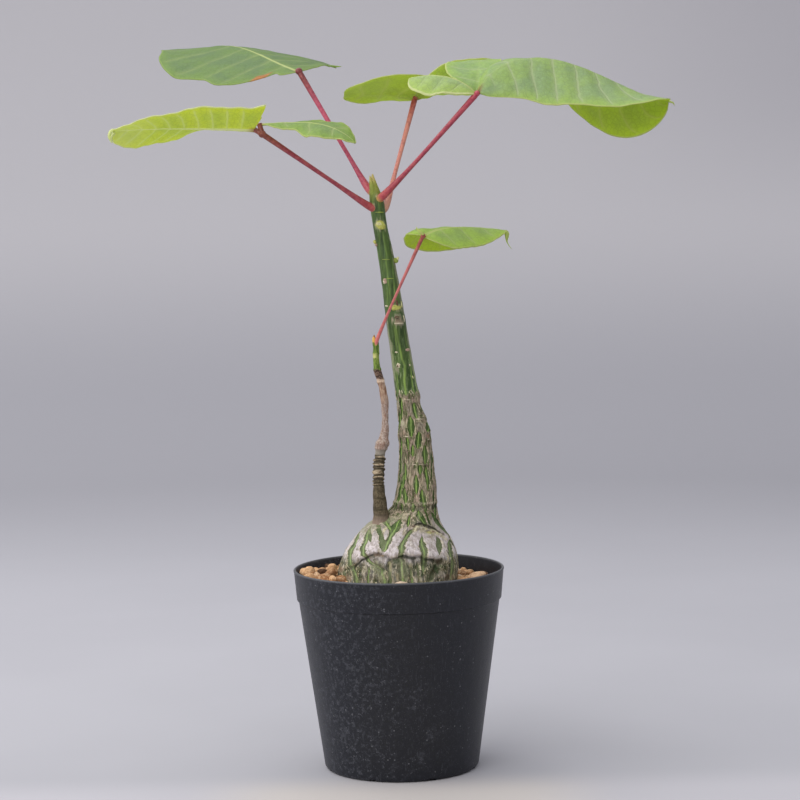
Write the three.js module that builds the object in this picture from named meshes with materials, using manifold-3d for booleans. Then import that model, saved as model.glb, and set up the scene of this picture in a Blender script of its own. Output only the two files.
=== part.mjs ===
// A potted shaving brush tree: a young caudex plant in a round plastic nursery pot.
// The swollen, fissured base stands half out of gritty soil. One tapering green trunk and one thin side shoot
// grow from it, and each leaf is a red stalk that carries one to three drooping leaflets.
// Millimetres, +Z up. The origin is the centre of the pot's underside, and the plant's best side faces -Y.

import * as THREE from "three";
import { mergeVertices } from "three/addons/utils/BufferGeometryUtils.js";
import Module from "manifold-3d";

const wasm = await Module();
wasm.setup();

const DEG = Math.PI / 180;
const GAP = 0.3; // clearance between neighbouring pieces

// The pot, a 105 mm nursery pot
const POT_HEIGHT = 100;
const POT_RIM_RADIUS = 52.5;
const POT_FOOT_RADIUS = 38.7;
const POT_WALL = 1.0;
const POT_BAND_HEIGHT = 15; // the stiffening band below the rim
const POT_BAND_STEP = 0.8; // how far the band stands out of the wall
const POT_CORNER = 2.4; // rounding between wall and foot
const POT_FLOOR_TOP = 2.6;
const POT_SEGMENTS = 44;
const FOOT_RING_INNER = 32;
const CENTRE_PAD_RADIUS = 11;
const UNDERSIDE_RECESS = 1.2;
const DRAIN_HOLES = 8;
const DRAIN_HOLE_RADIUS = 3.4;
const DRAIN_CIRCLE_RADIUS = 21.5;
const DRAIN_NOTCH_WIDTH = 4;

// The soil, pumice grit that lies a few millimetres below the rim and higher on the left
const SOIL_LEVEL = 93;
const SOIL_SLOPE = -0.05;
const GRAIN_SPACING = 6.8;
const GRAIN_RADIUS = [2.8, 4.5];
const SEED = 7;

const CAUDEX_RADIUS = 30.4; // where it meets the soil

// Caudex and trunk, as level rings from the root tip to the bud: height, centre x, centre y, radius
const TRUNK_RINGS = [
  [30, -3, 2, 0.9],
  [45, -2, 1.5, 3.5],
  [60, 0, 0.5, 9],
  [72, 0, 0, 20.5],
  [84, 0, 0, 28],
  [96, 0, 0, CAUDEX_RADIUS],
  [106, 0.5, 0, 28.8],
  [114, 1.2, 0, 24.5],
  [121, 2.2, 0, 18.9],
  [126, 5.6, 0.4, 14.4],
  [131, 8.4, 0.8, 11],
  [140, 9.6, 1.4, 9.7],
  [152, 9.7, 2, 8.5],
  [162, 9.2, 2.4, 7.9],
  [170, 8.5, 2.6, 7.6],
  [178, 7.2, 2.6, 6.3],
  [192, 4.9, 2.5, 5.6],
  [208, 2.7, 2.2, 5.1],
  [224, 0.5, 1.8, 4.8],
  [240, -1.5, 1.2, 4.3],
  [256, -3.8, 0.7, 3.9],
  [270, -6.3, 0.2, 3.5],
  [282, -7.8, 0, 3.5],
  [290, -9.1, 0, 1.9],
  [295.5, -9.6, 0, 0.3],
];
const TRUNK_SIDES = 44;
const TRUNK_STEPS = 42;

// Relief of the bark. Low plates run up the caudex and shallow ribs up the trunk's foot.
const PLATES = { count: 11, depth: 0.55, from: 84, to: 128 };
const RIBS = { count: 9, depth: 0.28, from: 128, to: 190 };
const LUMPS = { twoSided: 0.8, threeSided: 0.6 }; // how far the caudex is out of round
const FADE = 10; // height over which one kind of relief gives way to the next

// The crease across the caudex's front: the bark above it overhangs the bark below
const CREASE = { height: 109, depth: 1.5, overhang: 0.7, half: 3.5, direction: -90, spread: 62 };

// Knobs on the trunk's foot, where leaves or shoots once grew: how far each stands out and its half height
const KNOBS = [
  { height: 170, direction: -20, out: 2, half: 5 },
  { height: 167, direction: 185, out: 1.2, half: 4 },
  { height: 159, direction: 95, out: 1, half: 4 },
];
const KNOB_SPREAD = 0.55; // half width in radians

// Thick roots that run from the caudex into the soil: start, middle and end, with their radii
const ROOTS = [
  { path: [[12, -8, 74], [24, -17, 60], [30, -20, 40]], radii: [5, 3, 1.2] },
  { path: [[-14, 4, 74], [-27, 10, 58], [-32, 14, 36]], radii: [5, 3, 1.2] },
  { path: [[4, 14, 74], [9, 27, 60], [10, 33, 42]], radii: [4.5, 2.8, 1.1] },
];

// The side shoot, from its root in the caudex's shoulder to its tip: x, y, z, radius
const SHOOT = [
  [-8.1, -7.6, 121, 4.1],
  [-8.3, -8, 127, 3.9],
  [-8.8, -8, 134, 3.3],
  [-9.2, -8, 142, 2.8],
  [-9.1, -8.1, 148, 2.9],
  [-8.7, -8.2, 154, 2.9],
  [-8, -8.4, 158.5, 2.6],
  [-7.5, -8.5, 161.5, 3],
  [-6.2, -8.7, 165.5, 2.1],
  [-5.4, -9, 173, 1.7],
  [-5.6, -9.5, 184.5, 1.7],
  [-6.9, -10, 192.5, 1.8],
  [-8.6, -10.6, 198.5, 1.75],
  [-9.3, -11, 204.5, 1.5],
  [-9.2, -11.6, 210, 1.5],
  [-9.2, -12, 214, 0.9],
];
const SHOOT_SIDES = 10;
const SHOOT_STEPS = 36;
const SHOOT_RINGS = { from: 142, to: 158, pitch: 5.2, height: 0.35 }; // crowded scars of fallen leaves

// Leaves. A stalk's path runs from the trunk's middle to the leaflets. A leaflet starts at the stalk's tip.
// heading: direction in plan, 0 to the right and 90 away from the front. bend: change of heading to the tip.
// rise: slope of the midrib at its base, middle and tip. half: half widths left and right of the midrib.
// broadest: share of the length where it is widest. blunt: below 1 the ends are blunter, above 1 sharper.
// droop: how far each half hangs at base, middle and tip. curl: further bend from midrib to margin.
// blunt and curl, like half, are given for the left half and the right one.
// sweep: how far the side veins lean towards the tip, at base, middle and tip.
// notches: where the margin is eaten, or bulges if depth is negative: side, share, reach along it, depth.
const LEAVES = [
  {
    name: "upper_left",
    stalk: [[-8.6, 0.3, 286], [-12.5, 2, 289.5], [-22, 5, 306], [-45.2, 10, 347]],
    leaflets: [
      {
        name: "blade",
        heading: 124,
        bend: 6,
        length: 105,
        rise: [13, 13.5, -26],
        half: [45, 42],
        broadest: 0.53,
        blunt: [0.75, 0.82],
        droop: { left: [11.5, 17, -11], right: [-13, 1, 11] },
        curl: [9.5, 11.5],
        sweep: [-12.5, -9, 28],
        wave: [0.9, 2.5, 0.4],
        notches: [["left", 0.11, 0.13, 0.2], ["right", 0.48, 0.1, -0.23], ["left", 0.43, 0.09, 0.15]],
      },
    ],
  },
  {
    name: "lower_left",
    stalk: [[-7.6, -0.4, 278.6], [-12, -2.4, 280], [-30, -7, 292.5], [-62.6, -14.5, 315.3]],
    joints: [[-66.6, -14.2, 317.6], [-64, -14, 320.6]],
    leaflets: [
      {
        name: "leaflet_left",
        start: [-66.6, -14.2, 317.6],
        heading: 201,
        bend: -5,
        length: 69,
        rise: [2, 0, -5],
        half: [18, 19.5],
        broadest: 0.43,
        blunt: [0.25, 0.37],
        droop: { left: [-43, -30, -5], right: [-38, 14, 38.5] },
        curl: [9, 4],
        sweep: [-18.5, 10.5, 17],
        wave: [0.6, 3, 0],
        notches: [["left", 0.05, 0.04, -0.3]],
      },
      {
        name: "leaflet_right",
        start: [-64, -14, 320.6],
        heading: -15,
        bend: -10,
        length: 52.5,
        rise: [0, -8, -47],
        half: [12.8, 12.5],
        broadest: 0.55,
        blunt: [0.89, 0.94],
        droop: { left: [30, -9, -8], right: [22, 27, 5.5] },
        curl: [3, 17],
        sweep: [31, 6, 11],
        wave: [0.7, 3, 0],
        notches: [["right", 0.39, 0.1, 0.34], ["right", 0.95, 0.05, -0.42]],
      },
    ],
  },
  {
    name: "right",
    stalk: [[-7.6, -0.6, 282.5], [-3, -4, 286], [12, -10, 301], [41.7, -22, 332.6]],
    leaflets: [
      {
        name: "leaflet_outer",
        heading: 11,
        bend: -23,
        length: 103.5,
        rise: [66, -18, -12],
        half: [36.7, 30.5],
        broadest: 0.51,
        blunt: [0.65, 0.44],
        droop: { left: [17, 18, 90], right: [51, 37.5, -17] },
        curl: [16.5, 15.5],
        sweep: [-2.5, 9, 19.5],
        wave: [0.7, 2.5, 0.5],
        notches: [["left", 0, 0.18, 0.86]],
      },
      {
        name: "leaflet_inner",
        heading: 163,
        bend: -4,
        length: 37,
        rise: [49, 11, -11],
        half: [12.5, 12.6],
        broadest: 0.59,
        blunt: [0.55, 0.58],
        droop: { left: [40, 46, 40], right: [1, 11, 0] },
        curl: [17, 17],
        sweep: [-7.5, 8.5, 23],
        wave: [0.6, 2.5, 0.3],
      },
      {
        name: "leaflet_back",
        heading: 87,
        bend: -9,
        length: 58,
        rise: [34.5, 23, -32],
        half: [16.7, 11.2],
        broadest: 0.48,
        blunt: [0.8, 0.64],
        droop: { left: [-14.5, 0, 8], right: [1, -2, 15] },
        curl: [-5, 0],
        sweep: [4, -4.5, 20],
        wave: [0.6, 2.5, 0],
      },
    ],
  },
  {
    name: "back",
    stalk: [[-7.4, 0.6, 278.5], [-3.4, 4, 279.5], [2, 17, 298], [12.3, 40, 334.6]],
    leaflets: [
      {
        name: "leaflet_left",
        heading: 187,
        bend: 10,
        length: 37,
        rise: [14, 0.5, -8.5],
        half: [24, 10.3],
        broadest: 0.48,
        blunt: [0.5, 0.62],
        droop: { left: [-70, -22, -24], right: [0, 14, 18.5] },
        curl: [3, 12.5],
        sweep: [-82, -12.5, 19],
        wave: [0.6, 2, 0],
      },
      {
        name: "leaflet_right",
        heading: 26,
        bend: -3,
        length: 57,
        rise: [14, 10, -11],
        half: [20, 18.5],
        broadest: 0.49,
        blunt: [0.75, 0.75],
        droop: { left: [-2, 15, 17], right: [-56, -44, -27] },
        curl: [-8, -8],
        sweep: [-15, 3, 20],
        wave: [0.8, 2, 0.4],
      },
    ],
  },
];
const SHOOT_LEAF = {
  name: "shoot",
  stalk: [[-9.2, -11.9, 211.5], [-8.4, -13.2, 215], [0, -18.4, 234], [14.5, -25, 264.6]],
  leaflets: [
    {
      name: "blade",
      heading: 55,
      bend: -31,
      length: 54,
      rise: [19, 0.3, -7.5],
      half: [23.6, 15.4],
      broadest: 0.44,
      blunt: [0.58, 0.66],
      droop: { left: [-43, 0, -13], right: [22, 32, 9] },
      curl: [66, 23],
      sweep: [-7.5, -4, 24.5],
      wave: [0.4, 2, 0],
    },
  ],
};
const STALK_RADII = [1.9, 1.5, 1.05, 1.45];
const SHOOT_STALK_RADII = [1.3, 1.15, 0.75, 1.1];
const STALK_SIDES = 8;
const STALK_STEPS = 10;
const HUB_RADIUS = 2; // the swollen joint that the leaflets spring from
const BLADE_THICKNESS = 0.7;
const MIDRIB_DEPTH = 0.9; // how far the midrib stands out of the underside
const BLADE_STEPS_LONG = 12;
const BLADE_STEPS_WIDE = 6;
const TIP_WIDTH = 0.5; // half width of the blade at its two ends

// Colours
const COLOURS = {
  pot: ["#2b2c30", 0.55],
  soil: ["#b98f66", 0.95],
  bark: ["#6f8a4c", 0.8],
  shoot: ["#8b7a66", 0.85],
  stalk: ["#a83f4f", 0.45],
  leaf: ["#7fa83f", 0.5],
};

// Uniform Catmull-Rom value through a table's rows, at a row number that may lie between two rows.
function rowAt(rows, t) {
  const i = Math.min(Math.floor(t), rows.length - 2);
  const f = t - i;
  const before = rows[Math.max(i - 1, 0)];
  const from = rows[i];
  const to = rows[i + 1];
  const after = rows[Math.min(i + 2, rows.length - 1)];
  return from.map((value, k) => {
    const slopeIn = (to[k] - before[k]) / 2;
    const slopeOut = (after[k] - value) / 2;
    const cubic = 2 * value - 2 * to[k] + slopeIn + slopeOut;
    const square = -3 * value + 3 * to[k] - 2 * slopeIn - slopeOut;
    return value + f * (slopeIn + f * (square + f * cubic));
  });
}

// Value at a share from 0 to 1 through three values, as a parabola.
function through([start, middle, end], share) {
  const bow = 2 * (start + end - 2 * middle);
  return start + share * (end - start) + share * (share - 1) * bow;
}

const bump = (distance, width) => Math.exp(-((distance / width) ** 2));
const ease = (low, high, value) => THREE.MathUtils.smoothstep(value, low, high);
const turnBetween = (a, b) => Math.atan2(Math.sin(a - b), Math.cos(a - b));

// A closed three.js geometry as a manifold solid.
function solidOf(geometry) {
  const bare = geometry.clone();
  bare.deleteAttribute("normal");
  bare.deleteAttribute("uv");
  const merged = mergeVertices(bare, 1e-4);
  return new wasm.Manifold(
    new wasm.Mesh({
      numProp: 3,
      vertProperties: merged.attributes.position.array,
      triVerts: new Uint32Array(merged.index.array),
    }),
  );
}

// A manifold solid back as a three.js geometry.
function geometryOf(solid) {
  const mesh = solid.getMesh();
  return new THREE.BufferGeometry()
    .setAttribute("position", new THREE.BufferAttribute(mesh.vertProperties, 3))
    .setIndex(new THREE.BufferAttribute(mesh.triVerts, 1));
}

// The largest body of a solid, without the loose scraps that cutting leaves.
function largestBody(solid) {
  return solid.decompose().reduce((best, body) => (body.volume() > best.volume() ? body : best));
}

// A closed cylinder whose vertices are moved: place(share along, angle, share of radius) gives the new point.
function shapedCylinder(sides, steps, place) {
  const geometry = new THREE.CylinderGeometry(1, 1, 1, sides, steps);
  const points = geometry.attributes.position;
  for (let i = 0; i < points.count; i++) {
    const [x, y, z] = [points.getX(i), points.getY(i), points.getZ(i)];
    const moved = place(y + 0.5, Math.atan2(-z, x), Math.hypot(x, z));
    points.setXYZ(i, moved.x, moved.y, moved.z);
  }
  return solidOf(geometry);
}

// A round tube whose radius changes along a path of rows x, y, z, radius.
function taperedTube(rows, sides, steps, grow = 0, relief = () => 0) {
  const last = rows.length - 1;
  const at = (share) => {
    const [x, y, z] = rowAt(rows, share * last);
    return new THREE.Vector3(x, y, z);
  };
  const side = new THREE.Vector3(0, 1, 0);
  return shapedCylinder(sides, steps, (share, angle, out) => {
    const centre = at(share);
    const along = at(Math.min(share + 0.01, 1)).sub(at(Math.max(share - 0.01, 0))).normalize();
    const across = side.clone().cross(along).normalize();
    const other = along.clone().cross(across);
    const radius = rowAt(rows, share * last)[3] + grow + relief(centre);
    return centre
      .addScaledVector(across, Math.cos(angle) * radius * out)
      .addScaledVector(other, Math.sin(angle) * radius * out);
  });
}

function potSolid() {
  const bandBottom = POT_HEIGHT - POT_BAND_HEIGHT;
  const taper = (POT_RIM_RADIUS - POT_FOOT_RADIUS) / POT_HEIGHT;
  const wallAt = (z) => POT_FOOT_RADIUS + taper * z;
  const corner = [-90, -60, -30, 0].map((turn) => [
    POT_FOOT_RADIUS - POT_CORNER + POT_CORNER * Math.cos(turn * DEG),
    POT_CORNER + POT_CORNER * Math.sin(turn * DEG),
  ]);
  const outside = [
    [0, 0],
    [CENTRE_PAD_RADIUS, 0],
    [CENTRE_PAD_RADIUS, UNDERSIDE_RECESS],
    [FOOT_RING_INNER, UNDERSIDE_RECESS],
    [FOOT_RING_INNER, 0],
    ...corner,
    [wallAt(bandBottom - 1) - 0.2, bandBottom - 1],
    [wallAt(bandBottom) - 0.2 + POT_BAND_STEP, bandBottom],
    [POT_RIM_RADIUS - 0.25, POT_HEIGHT - 1.2],
    [POT_RIM_RADIUS, POT_HEIGHT - 0.8],
    [POT_RIM_RADIUS - 0.15, POT_HEIGHT - 0.1],
    [POT_RIM_RADIUS - 0.5, POT_HEIGHT],
  ];
  const inside = [
    [POT_RIM_RADIUS - POT_WALL - 0.2, POT_HEIGHT - 0.3],
    [wallAt(bandBottom) - 0.2 + POT_BAND_STEP - POT_WALL, bandBottom],
    [wallAt(bandBottom - 1) - 0.2 - POT_WALL, bandBottom - 1],
    [wallAt(POT_FLOOR_TOP + 2) - POT_WALL, POT_FLOOR_TOP + 2],
    [wallAt(POT_FLOOR_TOP) - POT_WALL - 1.6, POT_FLOOR_TOP],
    [0, POT_FLOOR_TOP],
  ];
  const profile = [...outside, ...inside].map(([r, z]) => new THREE.Vector2(r, z));
  const turned = new THREE.LatheGeometry(profile, POT_SEGMENTS).rotateX(Math.PI / 2);
  let pot = solidOf(turned);
  const drill = new THREE.CylinderGeometry(DRAIN_HOLE_RADIUS, DRAIN_HOLE_RADIUS, 10, 14).rotateX(Math.PI / 2);
  const notchLength = POT_FOOT_RADIUS - FOOT_RING_INNER + 4;
  const notch = new THREE.BoxGeometry(notchLength, DRAIN_NOTCH_WIDTH, 2 * UNDERSIDE_RECESS);
  for (let i = 0; i < DRAIN_HOLES; i++) {
    const turn = ((i + 0.5) / DRAIN_HOLES) * 2 * Math.PI;
    const hole = drill.clone().translate(DRAIN_CIRCLE_RADIUS, 0, 0).rotateZ(turn);
    const middle = (FOOT_RING_INNER + POT_FOOT_RADIUS) / 2;
    const gate = notch.clone().translate(middle, 0, 0).rotateZ(turn);
    pot = pot.subtract(solidOf(hole)).subtract(solidOf(gate));
  }
  return pot;
}

// How far the bark stands in or out of the smooth caudex and trunk at a direction and height.
function barkRelief(angle, z) {
  const onCaudex = ease(PLATES.from, PLATES.from + FADE, z) * (1 - ease(PLATES.to - FADE, PLATES.to, z));
  const wander = 1.4 * Math.sin(z * 0.13) + 0.8 * Math.sin(z * 0.29 + 2 * angle);
  const plates = PLATES.depth * Math.cos(PLATES.count * angle + wander);
  const lumps =
    LUMPS.twoSided * Math.sin(2 * angle + 0.6 + z * 0.05) + LUMPS.threeSided * Math.sin(3 * angle - z * 0.09);
  const facing = bump(turnBetween(angle, CREASE.direction * DEG), CREASE.spread * DEG);
  const above = z - CREASE.height - 0.8 * Math.sin(5 * angle);
  const overhang = CREASE.overhang * facing * bump(above - 0.7 * CREASE.half, CREASE.half);
  const undercut = CREASE.depth * facing * bump(above + 0.9 * CREASE.half, CREASE.half);
  const onTrunk = ease(RIBS.from, RIBS.from + FADE, z) * (1 - ease(RIBS.to - FADE, RIBS.to, z));
  const ribs = RIBS.depth * Math.cos(RIBS.count * angle + 2.2 * Math.sin(z * 0.21));
  const knobs = KNOBS.map(
    ({ height, direction, out, half }) =>
      out * bump(z - height, half) * bump(turnBetween(angle, direction * DEG), KNOB_SPREAD),
  );
  const bark = onCaudex * (plates + lumps + overhang - undercut) + onTrunk * ribs;
  return knobs.reduce((sum, knob) => sum + knob, bark);
}

// Caudex and trunk as one body, from root tip to bud. Rings lie closer together on the caudex.
function trunkSolid(grow) {
  const last = TRUNK_RINGS.length - 1;
  const body = shapedCylinder(TRUNK_SIDES, TRUNK_STEPS, (share, angle, out) => {
    const [z, x, y, radius] = rowAt(TRUNK_RINGS, share * last);
    const reach = (radius + grow + (out > 0.5 ? barkRelief(angle, z) : 0)) * out;
    const lift = grow * (share > 0.999 ? 1 : share < 0.001 ? -1 : 0);
    return new THREE.Vector3(x + reach * Math.cos(angle), y + reach * Math.sin(angle), z + lift);
  });
  return ROOTS.reduce((whole, { path, radii }) => {
    const rows = path.map((point, i) => [...point, radii[i]]);
    return whole.add(taperedTube(rows, 10, 8, grow));
  }, body);
}

function shootSolid(grow) {
  const { from, to, pitch, height } = SHOOT_RINGS;
  const ringed = (centre) =>
    centre.z > from && centre.z < to ? height * Math.cos(((centre.z - from) / pitch) * 2 * Math.PI) : 0;
  return taperedTube(SHOOT, SHOOT_SIDES, SHOOT_STEPS, grow, ringed);
}

// Leaf stalk with its swollen foot and the joint at its tip.
function stalkSolid(leaf, radii, grow) {
  const rows = leaf.stalk.map((point, i) => [...point, radii[i]]);
  const tip = leaf.stalk[leaf.stalk.length - 1];
  const size = HUB_RADIUS * (radii[3] / STALK_RADII[3]) + grow;
  const hub = new THREE.IcosahedronGeometry(size, 0).translate(...tip);
  const stem = taperedTube(rows, STALK_SIDES, STALK_STEPS, grow).add(solidOf(hub));
  return (leaf.joints ?? []).reduce((whole, joint) => {
    const branch = [[...tip, size * 0.8], [...joint, size * 0.7 - 0.2 * grow]];
    return whole.add(taperedTube(branch, STALK_SIDES, 3, 0));
  }, stem);
}

// Share of a blade's full half width at a share of its length, on one side.
function bladeWidth(share, side, leaflet) {
  const skew = Math.log(0.5) / Math.log(leaflet.broadest);
  const whole = Math.sin(Math.PI * share ** skew) ** leaflet.blunt[side === "left" ? 0 : 1];
  const eaten = (leaflet.notches ?? []).map(([at, where, reach, depth]) =>
    at === side ? 1 - depth * bump(share - where, reach) : 1,
  );
  return eaten.reduce((width, left) => width * left, whole);
}

// The blade's middle surface: gives the point at a share of the length and a share of the width, -1 to 1.
function bladeSurface(base, leaflet) {
  const steps = 60;
  const frames = [];
  const point = new THREE.Vector3(...base);
  for (let i = 0; i <= steps; i++) {
    const share = i / steps;
    const heading = (leaflet.heading + leaflet.bend * share) * DEG;
    const rise = through(leaflet.rise, share) * DEG;
    const along = new THREE.Vector3(
      Math.cos(rise) * Math.cos(heading),
      Math.cos(rise) * Math.sin(heading),
      Math.sin(rise),
    );
    const left = new THREE.Vector3(-Math.sin(heading), Math.cos(heading), 0);
    frames.push({ point: point.clone(), along, left, up: along.clone().cross(left) });
    point.addScaledVector(along, leaflet.length / steps);
  }
  return (share, wide) => {
    const { point: onMidrib, along, left, up } = frames[Math.round(share * steps)];
    const side = wide > 0 ? "left" : "right";
    const half = leaflet.half[wide > 0 ? 0 : 1];
    const curl = leaflet.curl[wide > 0 ? 0 : 1];
    const width = TIP_WIDTH + (half - TIP_WIDTH) * Math.max(bladeWidth(share, side, leaflet), 0);
    const hang = through(leaflet.droop[side], share) * DEG;
    const lean = through(leaflet.sweep, share) * DEG;
    const [height, waves, phase] = leaflet.wave;
    const turn = (waves * share + phase + (wide > 0 ? 0 : 0.37)) * 2 * Math.PI;
    const ripple = height * wide * wide * Math.sin(turn) * Math.sin(Math.PI * share);
    const place = onMidrib.clone();
    const pieces = 6;
    for (let k = 0; k < pieces; k++) {
      const angle = hang + curl * DEG * Math.abs(wide) * ((k + 0.5) / pieces);
      const stride = (width * Math.abs(wide)) / pieces;
      place.addScaledVector(left, Math.sign(wide) * Math.cos(angle) * Math.cos(lean) * stride);
      place.addScaledVector(up, -Math.sin(angle) * Math.cos(lean) * stride);
      place.addScaledVector(along, Math.sin(lean) * stride);
    }
    return place.addScaledVector(up, ripple);
  };
}

// One leaflet as a thin slab, with its faces split alike above and below and its midrib thickened underneath.
function bladeSolid(base, leaflet, grow = 0) {
  const surface = bladeSurface(base, { ...leaflet, half: leaflet.half.map((half) => half + grow) });
  const [long, wide] = [BLADE_STEPS_LONG, BLADE_STEPS_WIDE];
  const points = [];
  const faces = [];
  const sample = (i, j) => surface(i / long, (2 * j) / wide - 1);
  const clampTo = (value, top) => Math.min(Math.max(value, 0), top);
  for (const side of [1, -1]) {
    for (let i = 0; i <= long; i++) {
      for (let j = 0; j <= wide; j++) {
        const forward = sample(clampTo(i + 1, long), j).sub(sample(clampTo(i - 1, long), j));
        const sideways = sample(i, clampTo(j + 1, wide)).sub(sample(i, clampTo(j - 1, wide)));
        const normal = forward.cross(sideways).normalize();
        const ridge = side < 0 && j === wide / 2 ? MIDRIB_DEPTH * (1 - i / long) : 0;
        const offset = side * (BLADE_THICKNESS / 2 + ridge + grow);
        points.push(...sample(i, j).addScaledVector(normal, offset).toArray());
      }
    }
  }
  const row = wide + 1;
  const under = (long + 1) * row;
  for (let i = 0; i < long; i++) {
    for (let j = 0; j < wide; j++) {
      const [a, b, c, d] = [i * row + j, (i + 1) * row + j, (i + 1) * row + j + 1, i * row + j + 1];
      faces.push(a, b, c, a, c, d);
      faces.push(under + a, under + c, under + b, under + a, under + d, under + c);
    }
  }
  const rim = [];
  for (let i = 0; i < long; i++) rim.push(i * row);
  for (let j = 0; j < wide; j++) rim.push(long * row + j);
  for (let i = long; i > 0; i--) rim.push(i * row + wide);
  for (let j = wide; j > 0; j--) rim.push(j);
  rim.forEach((a, i) => {
    const b = rim[(i + 1) % rim.length];
    faces.push(a, under + a, under + b, a, under + b, b);
  });
  const geometry = new THREE.BufferGeometry()
    .setAttribute("position", new THREE.BufferAttribute(new Float32Array(points), 3))
    .setIndex(faces);
  return solidOf(geometry);
}

// A repeatable stream of numbers from 0 to 1.
function randomStream(seed) {
  let state = seed;
  return () => {
    state = (state * 1664525 + 1013904223) % 4294967296;
    return state / 4294967296;
  };
}

const soilLevel = (x, y) => SOIL_LEVEL + SOIL_SLOPE * x + 0.6 * Math.sin(x * 0.17) * Math.cos(y * 0.13);

// One lumpy grain of pumice.
function grainSolid(random, x, y, radius) {
  const grain = new THREE.IcosahedronGeometry(radius, 0);
  grain.deleteAttribute("normal");
  grain.deleteAttribute("uv");
  const lumpy = mergeVertices(grain, 1e-4);
  const points = lumpy.attributes.position;
  for (let i = 0; i < points.count; i++) {
    const swell = 0.85 + 0.3 * random();
    points.setXYZ(i, points.getX(i) * swell, points.getY(i) * swell, points.getZ(i) * swell);
  }
  lumpy.scale(1, 0.75 + 0.3 * random(), 0.62 + 0.2 * random());
  lumpy.rotateX(random() - 0.5).rotateZ(random() * 2 * Math.PI);
  lumpy.translate(x, y, soilLevel(x, y) + radius * (0.1 + 0.35 * random()));
  return solidOf(lumpy);
}

// Soil that fills the pot, with loose grains on top, cut clear of the pot's wall and of the plant.
function soilSolid(plant) {
  const taper = (POT_RIM_RADIUS - POT_FOOT_RADIUS) / POT_HEIGHT;
  const clear = POT_WALL + 0.5 + GAP;
  const insideAt = (z) => POT_FOOT_RADIUS + taper * z - clear;
  const bottom = POT_FLOOR_TOP + GAP;
  const fill = shapedCylinder(40, 1, (share, angle, out) => {
    const reach = out * insideAt(share ? SOIL_LEVEL : bottom) - (share ? 0 : 1.6 * out);
    const [x, y] = [reach * Math.cos(angle), reach * Math.sin(angle)];
    return new THREE.Vector3(x, y, share ? soilLevel(x, y) : bottom);
  });
  const random = randomStream(SEED);
  const placed = [];
  let soil = fill;
  for (let tries = 0; tries < 4000; tries++) {
    const reach = Math.sqrt(random()) * insideAt(SOIL_LEVEL);
    const turn = random() * 2 * Math.PI;
    const [x, y] = [reach * Math.cos(turn), reach * Math.sin(turn)];
    const radius = THREE.MathUtils.lerp(...GRAIN_RADIUS, random() ** 1.6);
    const inWall = reach + radius * 0.8 > insideAt(SOIL_LEVEL);
    const inPlant = reach < CAUDEX_RADIUS - radius * 0.2;
    const crowded = placed.some((other) => Math.hypot(other[0] - x, other[1] - y) < GRAIN_SPACING);
    if (inWall || inPlant || crowded) continue;
    placed.push([x, y]);
    soil = soil.add(grainSolid(random, x, y, radius));
  }
  const sleeve = shapedCylinder(48, 1, (share, angle, out) => {
    const reach = out * insideAt(share * POT_HEIGHT);
    return new THREE.Vector3(reach * Math.cos(angle), reach * Math.sin(angle), share * POT_HEIGHT);
  });
  return largestBody(soil.intersect(sleeve).subtract(plant));
}

function meshOf(name, solid, [colour, roughness]) {
  const material = new THREE.MeshStandardMaterial({ color: colour, roughness, metalness: 0 });
  const mesh = new THREE.Mesh(geometryOf(solid), material);
  mesh.name = name;
  return mesh;
}

// One leaf as its stalk and its leaflets, each cut clear of what carries it.
function leafGroup(leaf, radii, carrier) {
  const group = new THREE.Group();
  const stalk = largestBody(stalkSolid(leaf, radii, 0).subtract(carrier));
  group.add(meshOf(`leaf_${leaf.name}_stalk`, stalk, COLOURS.stalk));
  let taken = stalkSolid(leaf, radii, GAP);
  for (const leaflet of leaf.leaflets) {
    const base = leaflet.start ?? leaf.stalk[leaf.stalk.length - 1];
    const blade = largestBody(bladeSolid(base, leaflet).subtract(taken));
    group.add(meshOf(`leaf_${leaf.name}_${leaflet.name}`, blade, COLOURS.leaf));
    taken = taken.add(bladeSolid(base, leaflet, 2 * GAP));
  }
  return group;
}

const plant = new THREE.Group();
plant.add(meshOf("pot", potSolid(), COLOURS.pot));
plant.add(meshOf("soil", soilSolid(trunkSolid(GAP)), COLOURS.soil));
plant.add(meshOf("caudex_and_trunk", trunkSolid(0).subtract(shootSolid(GAP)), COLOURS.bark));
plant.add(meshOf("side_shoot", shootSolid(0), COLOURS.shoot));
for (const leaf of LEAVES) plant.add(leafGroup(leaf, STALK_RADII, trunkSolid(GAP)));
plant.add(leafGroup(SHOOT_LEAF, SHOOT_STALK_RADII, shootSolid(GAP)));

export default plant;
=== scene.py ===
# A potted shaving brush tree: a young caudex plant with red leaf stalks, in a black plastic nursery pot.
# Each section is one piece or a group of like pieces, from the pot up to the leaves, in millimetres. The
# origin is the middle of the pot's underside, +Z is up, and the plant's best side faces -Y.
import math
import random

import bmesh
import bpy
import numpy as np
from mathutils import Euler, Matrix, Vector, noise


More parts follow.
